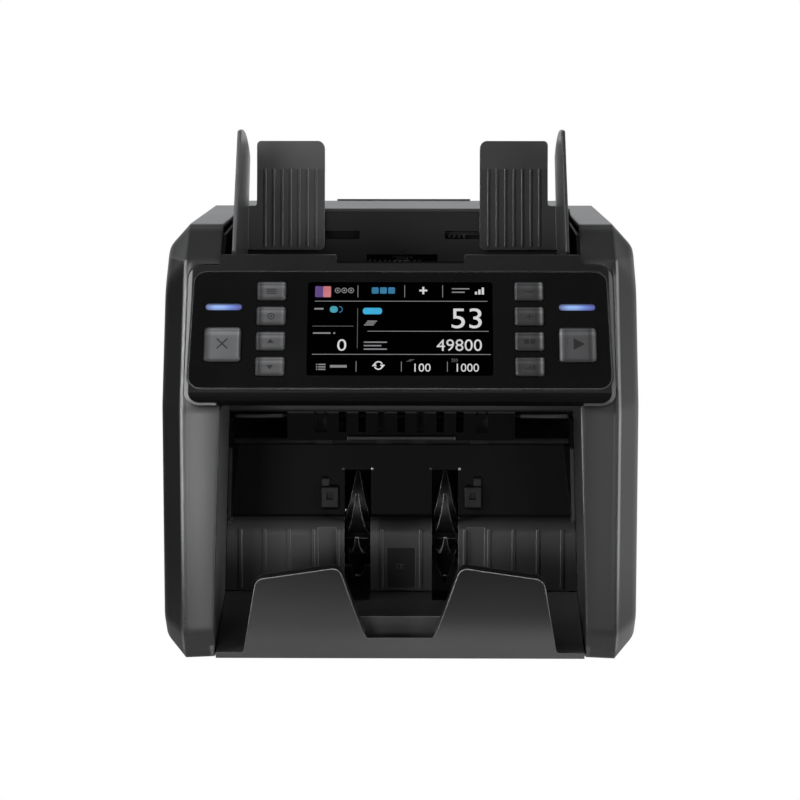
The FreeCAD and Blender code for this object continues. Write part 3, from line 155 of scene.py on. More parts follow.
def colour_ramp(tree, source, stops):
    # Colours along a 0 to 1 source: stops of (place, colour). A new ramp has two stops.
    ramp = add(tree, "ShaderNodeValToRGB", {"Fac": source})
    elements = ramp.color_ramp.elements
    for index, (place, colour) in enumerate(stops):
        stop = elements[index] if index < 2 else elements.new(place)
        stop.position = place
        stop.color = (*colour, 1)
    return ramp.outputs["Color"]


TONE_STOPS = (0.3, 0.7)


def toned(tree, source, colour, drift):
    # A colour that drifts between two shares of itself.
    return colour_ramp(tree, source, zip(TONE_STOPS, [times(colour, share) for share in drift]))


MOST = 5.0


def shares(tree, source, span, stops):
    # A value along a span of the source (millimetres): stops of (place, share), at most MOST.
    place = remap(tree, source, times(span, MM))
    greys = [(position, (share / MOST,) * 3) for position, share in stops]
    return spread(tree, colour_ramp(tree, place, greys), 0.0, MOST)


def axes(tree, vector):
    parts = add(tree, "ShaderNodeSeparateXYZ", {"Vector": vector})
    return parts.outputs["X"], parts.outputs["Y"], parts.outputs["Z"]


def coordinates(tree, kind="Object"):
    return add(tree, "ShaderNodeTexCoord", {}).outputs[kind]


def places(tree):
    # The shaded point: distance from the middle plane, depth, height, and signed place across.
    across, depth, height = axes(tree, coordinates(tree))
    return calculated(tree, "ABSOLUTE", across), depth, height, across


def panel_height(tree):
    # How far up the panel's slope the shaded point lies.
    up = vector_result(tree, "DOT_PRODUCT", {0: coordinates(tree), 1: PANEL_UP}, "Value")
    return calculated(tree, "SUBTRACT", up, PANEL_UP.dot(PANEL_FOOT))


def object_noise(tree, scale, detail, stretch=(1, 1, 1)):
    mapping = add(tree, "ShaderNodeMapping", {"Vector": coordinates(tree), "Scale": stretch})
    noise = add(tree, "ShaderNodeTexNoise",
                {"Vector": mapping.outputs["Vector"], "Scale": scale, "Detail": detail})
    return noise.outputs["Fac"]


def true_normal(tree):
    return add(tree, "ShaderNodeNewGeometry", {}).outputs["True Normal"]


BEVEL_SAMPLES = 4
RELIEF_DEPTH = 0.05 * MM


def rounded_normal(tree, radius):
    bevel = add(tree, "ShaderNodeBevel", {"Radius": radius}, samples=BEVEL_SAMPLES)
    return bevel.outputs["Normal"]


def relief(tree, height, strength, **under):
    # Normal of a fine relief, over another normal where one is given.
    inputs = {"Height": height, "Strength": strength, "Distance": RELIEF_DEPTH, **under}
    return add(tree, "ShaderNodeBump", inputs).outputs["Normal"]


# Masks by place and by shape

RIM_TURN = (0.985, 0.86)
FRONT_TURN = (-0.3, -0.5)
BAND_SOFT = 0.3


def rim_mask(tree, radius):
    # 1 along sharp edges, 0 on flat and gently curved faces: where the painted edge highlight goes.
    normals = {0: rounded_normal(tree, radius), 1: true_normal(tree)}
    return ramp_between(tree, vector_result(tree, "DOT_PRODUCT", normals, "Value"), *RIM_TURN)


def inside(tree, limits, soft=0.5):
    # 1 within the limits (in the order of places, millimetres), 0 outside, with soft ends.
    mask = None
    for source, span in zip(places(tree), limits):
        if span is None:
            continue
        for edge, sign in ((span[0], 1), (span[1], -1)):
            if edge is None:
                continue
            step = ramp_between(tree, source, (edge - sign * soft) * MM, (edge + sign * soft) * MM)
            mask = step if mask is None else product(tree, mask, step)
    return mask


def corner_band(tree, limits, centre, radius, width):
    # 1 along a lower corner rounded about the centre (aside, height), on faces to the front: where
    # a painted highlight band goes.
    aside, _, height, _ = places(tree)
    past = {}
    for axis, source, middle, sign in (("X", aside, centre[0], 1), ("Z", height, centre[1], -1)):
        span = (middle * MM, (middle + sign * radius) * MM)
        past[axis] = remap(tree, source, span, (0.0, radius))
    offset = add(tree, "ShaderNodeCombineXYZ", past).outputs["Vector"]
    away = vector_result(tree, "LENGTH", {0: offset}, "Value")
    inner = radius - width
    band = ramp_between(tree, away, inner - BAND_SOFT, inner + BAND_SOFT)
    front = ramp_between(tree, axes(tree, true_normal(tree))[1], *FRONT_TURN)
    return product(tree, product(tree, band, front), inside(tree, limits))


def bowed(tree, normal, limits, span, lean, lift=0.0):
    # Turns the normal outwards across a face, and up a little, as on a gently crowned moulding.
    aside, _, _, across = places(tree)
    turn = remap(tree, aside, times(span, MM), lean)
    sign = calculated(tree, "SIGN", across)
    mask = inside(tree, limits)
    offset = add(tree, "ShaderNodeCombineXYZ", {
        "X": product(tree, product(tree, mask, turn), sign),
        "Z": spread(tree, mask, 0.0, lift)})
    total = vector_result(tree, "ADD", {0: normal, 1: offset.outputs["Vector"]})
    return vector_result(tree, "NORMALIZE", {0: total})


# Parts of the pieces with their own tone and gloss, most of them painted light and shade, in
# millimetres:
# spans aside, in depth, in height and signed across, where None is no limit
LEFT = (None, 0)
RIGHT = (0, None)
CHEEKS = ((99, 112), (-121, -22), (None, 152))
LEFT_CHEEK = (*CHEEKS, LEFT)
RIGHT_CHEEK = (*CHEEKS, RIGHT)
PILLARS = ((103, 127.5), (None, -121), (None, 166))
LEFT_PILLAR = (*PILLARS, LEFT)
LEFT_PILLAR_INSIDE = ((None, 114), (None, -121), (None, 166), LEFT)
RIGHT_PILLAR = (*PILLARS, RIGHT)
# The right pillar's inner edge carries a painted highlight line
RIGHT_INNER_EDGE_HIGHLIGHT = ((101, 107), (None, -117), (None, 164), RIGHT)
PANEL_SIDES = ((121.5, 127.5), (None, -55), (166, 236))
LOWER_LEFT = (None, (None, -60), (None, 70), (None, -60))
LOWER_RIGHT = (None, (None, -60), (None, 45), (60, None))
SHOULDERS = ((123.5, 128.5), (None, -50), (10, 237))
# Narrow bands along the shoulders are painted pale, as painted highlights
LEFT_SHOULDER_HIGHLIGHT = ((125.9, 127.4), (None, -50), (10, 237), LEFT)
RIGHT_SHOULDER_HIGHLIGHT = ((126.6, 128.1), (None, -50), (10, 237), RIGHT)
LEFT_STRIP = ((128, 138.9), (None, -50), (None, 236), LEFT)
TOP_FACES = (None, None, (253.5, None))
CROWNS = (None, (None, -45), (237, 252.5))
CHIN = (None, None, (None, 165))
CHIN_SIDES = ((106.3, None), (None, -84), (None, 238))
LEFT_CHIN_HIGHLIGHT = (*CHIN_SIDES, LEFT)
RIGHT_CHIN_HIGHLIGHT = (*CHIN_SIDES, RIGHT)
HOPPER_LIP = ((None, 37.5), (None, -60), (235.6, None))
RIGHT_TONGUE = (None, (None, -100), (28, None), (14, None))
TONGUE_TOPS = (None, (None, -100), (46, None))
TRAY_FLOOR = ((70, None), (-121, None), (None, 32))
SILL = (None, (None, -118), (None, 21))
LEDGE = (None, None, (None, 71.5))
LEFT_LEDGE = (None, None, (None, 71.5), (None, -14))
LEDGE_FOOT = (None, None, (None, 50))
LENS_SEAT = ((None, 8.8), (None, -44.7), (29.5, 54.6))
FLARES = ((93, None), (None, -40), (71.5, 139))
LEFT_FLARE = (*FLARES, LEFT)
COMB = (None, (None, -38), (117, 139))
COMB_BEAM = (None, (None, -30), (139, 151))
COMB_LIP = ((None, 33), (None, -40), (120, 124.2))
HOPPER = (None, None, (170, None))
LEFT_GUIDE = (None, None, None, LEFT)
SCREEN_OPENING = ((None, 117), None, (171.5, 227.5))
SHAFTS_BUT_RIGHT_ENDS = (None, None, None, (None, 74))
SHAFT_MIDDLES = ((None, 74), None, None)
LENS_BLOCK = (None, None, (None, 60))

# Painted highlight bands that follow the chin's rounded lower corners: centre (aside, height),
# radius and width
CHIN_HIGHLIGHTS = (LEFT_CHIN_HIGHLIGHT, RIGHT_CHIN_HIGHLIGHT)
CHIN_CORNER = ((115.2, 165.0), 9.0, 2.2)


# Recipes: noise as (scale, detail), drifts as two shares of the colour or of the roughness

SLOW_NOISE = (14.0, 3.0)
GRAIN_NOISE = (1800.0, 2.0)
GRAIN_STRENGTH = 0.06
GRAIN_SHEEN = (0.93, 1.07)
SLOW_SHEEN = (0.92, 1.08)
SLOW_TONE = (0.88, 1.12)


def moulded(name, colour, roughness, edge=0.5 * MM, gloss=0.5, rim=0.0, rim_width=0.5 * MM,
            zones=(), crowns=(), polish=()):
    # Moulded plastic: fine grain, slow drift in tone and sheen, and paler colour along sharp edges
    # as a painted highlight.
    # A zone (limits, tone, gloss, edge highlight, and how soft its ends are) has its own tone and
    # gloss; below, most zones paint light and shade.
    # A crown (limits, span, lean, lift) is shaded as bowed, polish is (limits, roughness).
    material, tree, surface = new_material(name)
    slow = object_noise(tree, *SLOW_NOISE)
    fine = object_noise(tree, *GRAIN_NOISE)
    mix = toned(tree, slow, colour, SLOW_TONE)
    tint = tuple(c / colour[0] for c in colour)
    painted_edge_colour = times(tint, rim)
    wire(tree, surface, {"Specular IOR Level": gloss})
    for limits, level, zone_gloss, zone_rim, *soft in zones:
        if limits in CHIN_HIGHLIGHTS:
            mask = corner_band(tree, limits, *CHIN_CORNER)
        else:
            mask = inside(tree, limits, *soft)
        mix = mix_colours(tree, mask, mix, toned(tree, slow, times(tint, level), SLOW_TONE))
        painted_edge_colour = mix_colours(tree, mask, painted_edge_colour, times(tint, zone_rim))
        gloss = mix_values(tree, mask, gloss, zone_gloss)
    if rim:
        mix = mix_colours(tree, rim_mask(tree, rim_width), mix, painted_edge_colour)
    sheen = product(tree, spread(tree, slow, *SLOW_SHEEN),
                    spread(tree, fine, *times(GRAIN_SHEEN, roughness)))
    for limits, smooth in polish:
        sheen = mix_values(tree, inside(tree, limits), sheen, smooth)
    normal = rounded_normal(tree, edge)
    for crown in crowns:
        normal = bowed(tree, normal, *crown)
    wire(tree, surface, {
        "Base Color": mix, "Roughness": sheen, "Specular IOR Level": gloss,
        "Normal": relief(tree, fine, GRAIN_STRENGTH, Normal=normal)})
    return material


EVEN = (1, 1, 1)
DRAWN = (1, 0.05, 0.05)
TURNED = (3.0, 0.1, 0.1)
FOLDED = (0.2, 1, 1)
METAL_LINES = (260.0, 4.0)
METAL_TONE = (0.82, 1.06)
METAL_SHEEN = (0.8, 1.25)
METAL_EDGE = 0.2 * MM


def metal(name, colour, roughness, stretch, zones=()):
    # Sheet or turned metal with fine lines, painted darker in the zones (limits, share) as painted
    # shade.
    material, tree, surface = new_material(name)
    lines = object_noise(tree, *METAL_LINES, stretch)
    mix = toned(tree, lines, colour, METAL_TONE)
    for limits, share in zones:
        mix = mix_colours(tree, inside(tree, limits), mix, times(colour, share))
    wire(tree, surface, {
        "Base Color": mix, "Metallic": 1.0, "Normal": rounded_normal(tree, METAL_EDGE),
        "Roughness": spread(tree, lines, *times(METAL_SHEEN, roughness))})
    return material


DUST_NOISE = (90.0, 6.0)
DUST_TONE = (0.8, 1.5)
DUST_SHEEN = (0.95, 1.05)
SKIN_NOISE = (2400.0, 2.0)
SKIN_STRENGTH = 0.25


def rubber(name, colour, roughness):
    # Ground rubber: dusty tone and a coarse matt skin.
    material, tree, surface = new_material(name)
    dust = object_noise(tree, *DUST_NOISE)
    wire(tree, surface, {
        "Base Color": toned(tree, dust, colour, DUST_TONE),
        "Roughness": spread(tree, dust, *times(DUST_SHEEN, roughness)),
        "Normal": relief(tree, object_noise(tree, *SKIN_NOISE), SKIN_STRENGTH)})
    return material


SMEAR_NOISE = (30.0, 5.0)
SMEAR_TONE = (0.8, 1.3)
SMEAR_ROUGHNESS = (0.10, 0.18)
GLOSS_EDGE = 0.4 * MM
GLOSS_RIM = 0.5 * MM


def gloss_panel(name, colour, gloss, rim=None, plain=None):
    # Polished black sheet with very faint handling marks, and paler colour along its sharp edges
    # outside the plain limits as a painted highlight.
    material, tree, surface = new_material(name)
    smear = object_noise(tree, *SMEAR_NOISE)
    mix = toned(tree, smear, colour, SMEAR_TONE)
    if rim:
        outside = spread(tree, inside(tree, plain), 1.0, 0.0)
        mix = mix_colours(tree, product(tree, rim_mask(tree, GLOSS_RIM), outside), mix, rim)
    wire(tree, surface, {
        "Base Color": mix, "Specular IOR Level": gloss,
        "Roughness": spread(tree, smear, *SMEAR_ROUGHNESS),
        "Normal": rounded_normal(tree, GLOSS_EDGE)})
    return material


TRACK_SCALE = 140.0
TRACK_ROUGHNESS = (0.3, 0.45)


def board(name):
    # Green board: solder mask over faint tracks.
    material, tree, surface = new_material(name)
    turned = add(tree, "ShaderNodeMapping",
                 {"Vector": coordinates(tree), "Rotation": (QUARTER, 0, QUARTER)})
    tracks = add(tree, "ShaderNodeTexBrick", {
        "Vector": turned.outputs["Vector"], "Scale": TRACK_SCALE, "Color1": (0.012, 0.10, 0.05),
        "Color2": (0.016, 0.12, 0.06), "Mortar": (0.03, 0.20, 0.10)})
    wire(tree, surface, {
        "Base Color": tracks.outputs["Color"],
        "Roughness": spread(tree, tracks.outputs["Fac"], *TRACK_ROUGHNESS)})
    return material


GLOW_NOISE = (160.0, 2.0)
GLOW_TONE = (0.88, 1.12)


def glow(name, colour, strength):
    # Lit screen element, with the slight unevenness of a backlight.
    material, tree, surface = new_material(name)
    uneven = object_noise(tree, *GLOW_NOISE)
    wire(tree, surface, {
        "Emission Color": toned(tree, uneven, colour, GLOW_TONE), "Emission Strength": strength,
        "Base Color": (0.01, 0.01, 0.012), "Roughness": 0.25})
    return material


# Colours from a light bar's left end to its right end, and shares from its foot to its top
LIGHT_ALONG = ((0.0, (0.09, 0.10, 0.19)), (0.12, (0.20, 0.30, 0.62)), (0.27, (0.33, 0.50, 0.92)),
               (0.48, (0.31, 0.48, 0.90)), (0.72, (0.15, 0.25, 0.72)), (0.95, (0.08, 0.10, 0.38)))
LIGHT_UP = ((0.0, 0.25), (0.2, 0.55), (0.65, 1.0), (0.80, 0.70), (0.94, 0.15))


def light_guide(name):
    # Lit bars: palest left of their middle, deep blue towards the right end.
    material, tree, surface = new_material(name)
    aside, _, height, across = places(tree)
    outwards = calculated(tree, "SUBTRACT", aside, LIGHT_U * MM)
    along = product(tree, outwards, calculated(tree, "SIGN", across))
    place = remap(tree, along, times((-LIGHT_HALF, LIGHT_HALF), MM))
    colour = colour_ramp(tree, place, LIGHT_ALONG)
    wire(tree, surface, {
        "Emission Color": scaled(tree, colour, shares(tree, height, LIGHT_HEIGHTS, LIGHT_UP)),
        "Emission Strength": 1.0, "Base Color": (0.02, 0.024, 0.05)})
    return material


# Painted highlight and painted shade on a key cap, as shares of its colour: from its inwards edge
# outwards, then from its lower edge up
LEFT_SMALL_ACROSS = ((0.0, 0.3), (0.06, 1.4), (0.10, 1.7), (0.14, 1.2), (0.20, 1.05), (0.73, 1.15),
                     (0.80, 0.78), (0.87, 0.36), (0.90, 0.42), (0.93, 0.7), (0.98, 0.3))
LEFT_LARGE_ACROSS = ((0.0, 0.2), (0.03, 0.6), (0.06, 1.6), (0.10, 1.0), (0.15, 0.95), (0.79, 1.05),
                     (0.85, 0.75), (0.91, 0.5), (0.95, 0.3), (1.0, 0.1))
RIGHT_SMALL_ACROSS = ((0.0, 0.3), (0.045, 1.95), (0.10, 0.75), (0.25, 0.9), (0.5, 1.0), (0.72, 0.7),
                      (0.81, 0.85), (0.87, 2.4), (0.91, 4.0), (0.945, 2.7), (0.98, 0.5))
RIGHT_LARGE_ACROSS = ((0.0, 0.4), (0.03, 2.5), (0.06, 2.2), (0.09, 1.2), (0.15, 0.76), (0.3, 1.0),
                      (0.75, 0.9), (0.80, 0.58), (0.85, 0.65), (0.89, 1.2), (0.92, 1.7),
                      (0.95, 1.3), (0.99, 0.4))
SMALL_UP = ((0.02, 0.2), (0.12, 0.7), (0.20, 1.0), (0.50, 0.9), (0.60, 1.1), (0.69, 1.7),
            (0.80, 0.75), (0.90, 1.9), (0.97, 0.4))
LARGE_UP = ((0.0, 0.15), (0.04, 0.4), (0.07, 0.8), (0.10, 1.0), (0.68, 1.0), (0.73, 1.1),
            (0.81, 1.7), (0.88, 0.9), (0.93, 1.4), (0.98, 0.5))
# The right keys are painted darker and the large left key lighter, as painted shade and painted
# light
RIGHT_SMALL_LEVEL = 0.53
LEFT_LARGE_LEVEL = 1.4
RIGHT_LARGE_LEVEL = 0.82
KEY_COLOUR = times((1.0, 1.01, 1.04), 0.068)
KEY_NOISE = (220.0, 3.0)
KEY_DRIFT = (0.95, 1.05)
KEY_ROUGHNESS = (0.27, 0.31)
KEY_EDGE = 0.35 * MM
KEY_COAT = 0.15
LEFT_TO_RIGHT_KEYS = (-10, 10)


def key_plastic(name):
    # Clear cap over a grey inset, with pale lines along its edges as painted highlights, dim bands
    # as painted shade, and a glossy skin.
    material, tree, surface = new_material(name)
    aside, _, _, across = places(tree)
    up = panel_height(tree)
    # Every row of small keys is folded onto the lowest one
    row = calculated(tree, "WRAP", up, (KEY_ROWS[3] + KEY_PITCH / 2) * MM,
                     (KEY_ROWS[3] - KEY_PITCH / 2) * MM)
    cloud = object_noise(tree, *KEY_NOISE)
    right = ramp_between(tree, across, *times(LEFT_TO_RIGHT_KEYS, MM))

    def along(source, middle, half, stops):
        return shares(tree, source, (middle - half, middle + half), stops)

    def small_across(stops):
        return along(aside, SMALL_KEY_U, SMALL_KEY_HALF[0], stops)

    def large_across(stops):
        return along(aside, LARGE_KEY_U, LARGE_KEY_HALF[0], stops)

    small = mix_values(tree, right, small_across(LEFT_SMALL_ACROSS),
                       product(tree, small_across(RIGHT_SMALL_ACROSS), RIGHT_SMALL_LEVEL))
    large = mix_values(tree, right,
                       product(tree, large_across(LEFT_LARGE_ACROSS), LEFT_LARGE_LEVEL),
                       product(tree, large_across(RIGHT_LARGE_ACROSS), RIGHT_LARGE_LEVEL))
    small = product(tree, small, along(row, KEY_ROWS[3], SMALL_KEY_HALF[1], SMALL_UP))
    large = product(tree, large, along(up, LARGE_KEY_V, LARGE_KEY_HALF[1], LARGE_UP))
    is_large = ramp_between(tree, aside, *times(BETWEEN_KEYS, MM))
    share = mix_values(tree, is_large, small, large)
    wire(tree, surface, {
        "Base Color": scaled(tree, toned(tree, cloud, KEY_COLOUR, KEY_DRIFT), share),
        "Roughness": spread(tree, cloud, *KEY_ROUGHNESS),
        "Normal": rounded_normal(tree, KEY_EDGE), "Coat Weight": KEY_COAT})
    return material


# Finishes, one per material slot of the record

finishes = {}


def finish(slot, recipe, *values, **settings):
    finishes[slot] = recipe(slot, *values, **settings)


# Casing: paler sharp edges and pale lines along the shoulders and the right pillar's inner edge are
# painted highlights.
# The cheeks, lightest on the left, and the top faces are painted lighter as painted light.
# The right pillar, the left pillar's inner part, the lower corners, the left strip and the crowns
# are painted darker as painted shade.
finish("casing_plastic", moulded, (0.022, 0.0222, 0.0226), 0.39, edge=2.5 * MM, rim=0.10,
       rim_width=1.0 * MM, polish=[(SHOULDERS, 0.27)],
       crowns=[(PILLARS, (106, 127), (0.15, 0.40), 0.08),
               (PANEL_SIDES, (122, 127.5), (0.05, 0.55))],
       zones=[(LEFT_PILLAR, 0.022, 0.75, 0.10), (LEFT_PILLAR_INSIDE, 0.012, 0.50, 0.05, 9),
              (RIGHT_PILLAR, 0.018, 0.34, 0.10), (LEFT_SHOULDER_HIGHLIGHT, 0.19, 1.0, 0.19, 0.5),
              (RIGHT_SHOULDER_HIGHLIGHT, 0.18, 1.0, 0.18, 0.4), (RIGHT_INNER_EDGE_HIGHLIGHT, 0.022, 0.5, 0.34),
              (LOWER_LEFT, 0.012, 0.45, 0.05, 43), (LOWER_RIGHT, 0.016, 0.28, 0.06, 30),
              (LEFT_CHEEK, 0.105, 0.5, 0.10), (RIGHT_CHEEK, 0.036, 0.5, 0.08),
              (LEFT_STRIP, 0.006, 0.15, 0.03), (TOP_FACES, 0.024, 0.9, 0.10),
              (CROWNS, 0.016, 0.34, 0.08, 1)])
# Housing: paler sharp edges and bands along the chin's lower corners, brightest on the left, are
# painted highlights; the chin is darker and less glossy, the hopper lip without gloss.
finish("housing_plastic", moulded, (0.007, 0.007, 0.0072), 0.40, gloss=0.25, rim=0.05,
       zones=[(CHIN, 0.003, 0.05, 0.10), (LEFT_CHIN_HIGHLIGHT, 0.22, 0.5, 0.22),
              (RIGHT_CHIN_HIGHLIGHT, 0.08, 0.4, 0.08), (HOPPER_LIP, 0.007, 0.0, 0.007, 0.2)])
# The right tongue is painted darker, the tongue tops darker towards the top, as painted shade; the
# floor and sill are painted lighter as painted light.
# Tray: paler sharp edges are painted highlights, palest along the tongue tops and the right tongue.
finish("tray_plastic", moulded, (0.020, 0.020, 0.021), 0.40, gloss=0.6, edge=0.8 * MM, rim=0.14,
       rim_width=0.9 * MM,
       zones=[(RIGHT_TONGUE, 0.013, 0.36, 0.22, 10), (TONGUE_TOPS, 0.006, 0.10, 0.6, 26),
              (TRAY_FLOOR, 0.042, 0.45, 0.12, 1), (SILL, 0.030, 0.75, 0.10, 8)])
# Pocket: near black, with paler sharp edges as painted highlights, strongest on the ledge ribs and
# the comb lip.
# The ledge (most on the left), the lens seat, the flares, the comb beam, the comb lip and the
# hopper are painted lighter as painted light;
# the ledge foot, the left flare and the comb are painted darker than around them as painted shade.
finish("pocket_plastic", moulded, (0.003, 0.003, 0.0031), 0.50, gloss=0.10, rim=0.008,
       zones=[(LEDGE, 0.034, 0.5, 0.34), (LEFT_LEDGE, 0.065, 0.5, 0.40),
              (LEDGE_FOOT, 0.012, 0.35, 0.12, 16), (LENS_SEAT, 0.006, 0.25, 0.05),
              (FLARES, 0.04, 0.3, 0.05), (LEFT_FLARE, 0.015, 0.3, 0.02),
              (COMB, 0.002, 0.05, 0.004), (COMB_BEAM, 0.009, 0.42, 0.03),
              (COMB_LIP, 0.03, 0.3, 0.95), (HOPPER, 0.012, 0.25, 0.03)])
# Guides: paler sharp edges along the ribs are painted highlights, and the left guide is painted
# lighter as painted light.
finish("guide_plastic", moulded, (0.028, 0.028, 0.029), 0.36, rim=0.19,
       zones=[(LEFT_GUIDE, 0.065, 0.5, 0.26)])
# Fascia: the grey along its sharp edges outside the screen opening is a painted highlight.
finish("fascia_gloss", gloss_panel, (0.0025, 0.0025, 0.0028), 0.38, (0.30, 0.30, 0.30),
       SCREEN_OPENING)
finish("screen", gloss_panel, (0.0002, 0.0002, 0.00025), 0.01)
finish("key_plastic", key_plastic)
finish("light_guide", light_guide)
finish("circuit_board", board)
finish("steel_sheet", metal, (0.20, 0.205, 0.21), 0.45, DRAWN)
finish("black_steel", metal, (0.03, 0.03, 0.031), 0.45, TURNED)
# Turned steel: darker everywhere but at the shafts' right ends, darkest in their middles, as
# painted shade.
finish("turned_steel", metal, (0.08, 0.082, 0.083), 0.22, TURNED,
       zones=[(SHAFTS_BUT_RIGHT_ENDS, 0.5), (SHAFT_MIDDLES, 0.1)])
finish("bush_bronze", metal, (0.50, 0.35, 0.17), 0.40, EVEN)
finish("roller_rubber", rubber, (0.010, 0.010, 0.0104), 0.72)
finish("belt_rubber", rubber, (0.012, 0.012, 0.012), 0.65)
# Stacker wheels: the pale fin edges are painted highlights.
finish("wheel_plastic", moulded, (0.008, 0.008, 0.0084), 0.34, edge=0.4 * MM, rim=0.60,
       rim_width=0.45 * MM)
finish("guide_sheet", moulded, (0.22, 0.22, 0.225), 0.55, gloss=0.15)
finish("sensor_plastic", moulded, (0.009, 0.009, 0.0094), 0.42, gloss=0.3, rim=0.05,
       zones=[(LENS_BLOCK, 0.006, 0.5, 0.0)])
finish("socket_plastic", moulded, (0.012, 0.012, 0.012), 0.38, rim=0.03)
finish("port_shell", metal, (0.62, 0.62, 0.63), 0.25, FOLDED)
finish("foot_rubber", rubber, (0.014, 0.014, 0.014), 0.75)

for entry in frame["record"]["subparts"]:
    solid = nodes[entry["node"]].data
    solid.materials.clear()
    solid.materials.append(finishes[entry["material_slot"]])


# Outlines in a plane, in millimetres

CORNER_STEPS = 5
ARC_STEPS = 14
DOT_STEPS = 10


def on_circle(u, v, radius, angle):
    return u + radius * math.cos(angle), v + radius * math.sin(angle)


def rectangle(u0, v0, u1, v1):
    return [(u0, v0), (u1, v0), (u1, v1), (u0, v1)]


def rounded(u0, v0, u1, v1, radius):
    corners = ((u1 - radius, v1 - radius, 0), (u0 + radius, v1 - radius, 90),
               (u0 + radius, v0 + radius, 180), (u1 - radius, v0 + radius, 270))
    return [on_circle(u, v, radius, math.radians(start + 90 * k / CORNER_STEPS))
            for u, v, start in corners for k in range(CORNER_STEPS + 1)]


def dot(u, v, radius):
    return [on_circle(u, v, radius, 2 * math.pi * k / DOT_STEPS) for k in range(DOT_STEPS)]


def arc_band(u, v, radius, width, start, end):
    angles = [math.radians(start + (end - start) * k / ARC_STEPS) for k in range(ARC_STEPS + 1)]
    outer = [on_circle(u, v, radius, angle) for angle in angles]
    inner = [on_circle(u, v, radius - width, angle) for angle in angles]
    return outer + inner[::-1]


def ring(u, v, radius, width):
    # Two halves, with a hair's gap at each end.
    return [arc_band(u, v, radius, width, 0, 178), arc_band(u, v, radius, width, 180, 358)]


def plus(half, thin):
    return [rectangle(-half, -thin, half, thin), rectangle(-thin, thin, thin, half),
            rectangle(-thin, -half, thin, -thin)]


def moved(loops, u, v):
    return [[(u + x, v + y) for x, y in loop] for loop in loops]


# Pieces that scene.py adds, each riding on a body

def attach(name, mesh, material, body):
    mesh.materials.append(material)
    piece = bpy.data.objects.new(name, mesh)
    scene.collection.objects.link(piece)
    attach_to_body(piece, body)


def attach_faces(name, bm, place, material, body):
    mesh = bpy.data.meshes.new(name)
    bm.to_mesh(mesh)
    bm.free()
    mesh.transform(place)
    attach(name, mesh, material, body)


def walls(bm, lower, upper):
    # Faces between two rings of the same number of corners.
    for k in range(len(lower)):
        after = (k + 1) % len(lower)
        bm.faces.new((lower[k], lower[after], upper[after], upper[k]))


def flat_piece(name, loops, heights, material, body):
    # Thin plates on the panel with the given outlines, between two heights over its face.
    bm = bmesh.new()
    for loop in loops:
        lower, upper = ([bm.verts.new(times((u, v, height), MM)) for u, v in loop]
                        for height in heights)
        bm.faces.new(upper)
        bm.faces.new(lower[::-1])
        walls(bm, lower, upper)
    bmesh.ops.recalc_face_normals(bm, faces=bm.faces)
    attach_faces(name, bm, PANEL, material, body)


TEXT_HALF = 0.5
TEXT_STEPS = 4


def number(name, text, box, heights, material, body):
    # Plain digits as a thin mesh, fitted into a box (left, low, right, high) of the panel.
    curve = bpy.data.curves.new(name, "FONT")
    curve.body = text
    curve.extrude = TEXT_HALF
    curve.resolution_u = TEXT_STEPS
    text_object = bpy.data.objects.new(name, curve)
    scene.collection.objects.link(text_object)
    bpy.context.view_layer.update()
    graph = bpy.context.evaluated_depsgraph_get()
    mesh = bpy.data.meshes.new_from_object(text_object.evaluated_get(graph))
    bpy.data.objects.remove(text_object)
    mesh.name = name
    xs = [vertex.co.x for vertex in mesh.vertices]
    ys = [vertex.co.y for vertex in mesh.vertices]
    left, foot = min(xs), min(ys)
    across = (box[2] - box[0]) / (max(xs) - left)
    up = (box[3] - box[1]) / (max(ys) - foot)
    thick = heights[1] - heights[0]
    for vertex in mesh.vertices:
        vertex.co.x = (box[0] + (vertex.co.x - left) * across) * MM
        vertex.co.y = (box[1] + (vertex.co.y - foot) * up) * MM
        vertex.co.z = (heights[0] + (vertex.co.z + TEXT_HALF) * thick) * MM
    mesh.transform(PANEL)
    mesh.materials.clear()
    attach(name, mesh, material, body)


# Screen contents: dividers, plain numbers and generic signs, placed by fractions of the screen

SCREEN_LEFT = -SCREEN_SIZE[0] / 2
SCREEN_LOW = SCREEN_MID - SCREEN_SIZE[1] / 2
SCREEN_SKIN = (SCREEN_FRONT + 0.02, SCREEN_FRONT + 0.10)
LINE_WIDTH = 0.35

white = glow("screen_white", (0.80, 0.80, 0.80), 0.78)
grey = glow("screen_grey", (0.30, 0.30, 0.31), 0.75)
dim = glow("screen_dim", (0.12, 0.12, 0.122), 0.75)
blue = glow("screen_blue", (0.02, 0.16, 0.30), 1.0)
teal = glow("screen_teal", (0.04, 0.30, 0.38), 1.0)
cyan = glow("screen_cyan", (0.03, 0.38, 0.64), 1.0)
violet = glow("screen_violet", (0.10, 0.05, 0.22), 1.0)
rose = glow("screen_rose", (0.60, 0.18, 0.20), 0.9)


def on_screen(across, up):
    # From the screen's lower left corner to panel millimetres.
    return SCREEN_LEFT + across * SCREEN_SIZE[0], SCREEN_LOW + up * SCREEN_SIZE[1]


def screen_box(across0, up0, across1, up1):
    return on_screen(across0, up0) + on_screen(across1, up1)


def bar(across0, up0, across1, up1):
    return rectangle(*screen_box(across0, up0, across1, up1))


def level_line(across0, across1, up):
    half = LINE_WIDTH / SCREEN_SIZE[1] / 2
    return bar(across0, up - half, across1, up + half)


def upright_line(across, up0, up1):
    half = LINE_WIDTH / SCREEN_SIZE[0] / 2
    return bar(across - half, up0, across + half, up1)


def on_glass(name, loops, material):
    flat_piece(name, loops, SCREEN_SKIN, material, "casing")


def glass_number(name, text, *corners):
    number(name, text, screen_box(*corners), SCREEN_SKIN, white, "casing")


def glass_sign(name, loops, across, up, material):
    on_glass(name, moved(loops, *on_screen(across, up)), material)


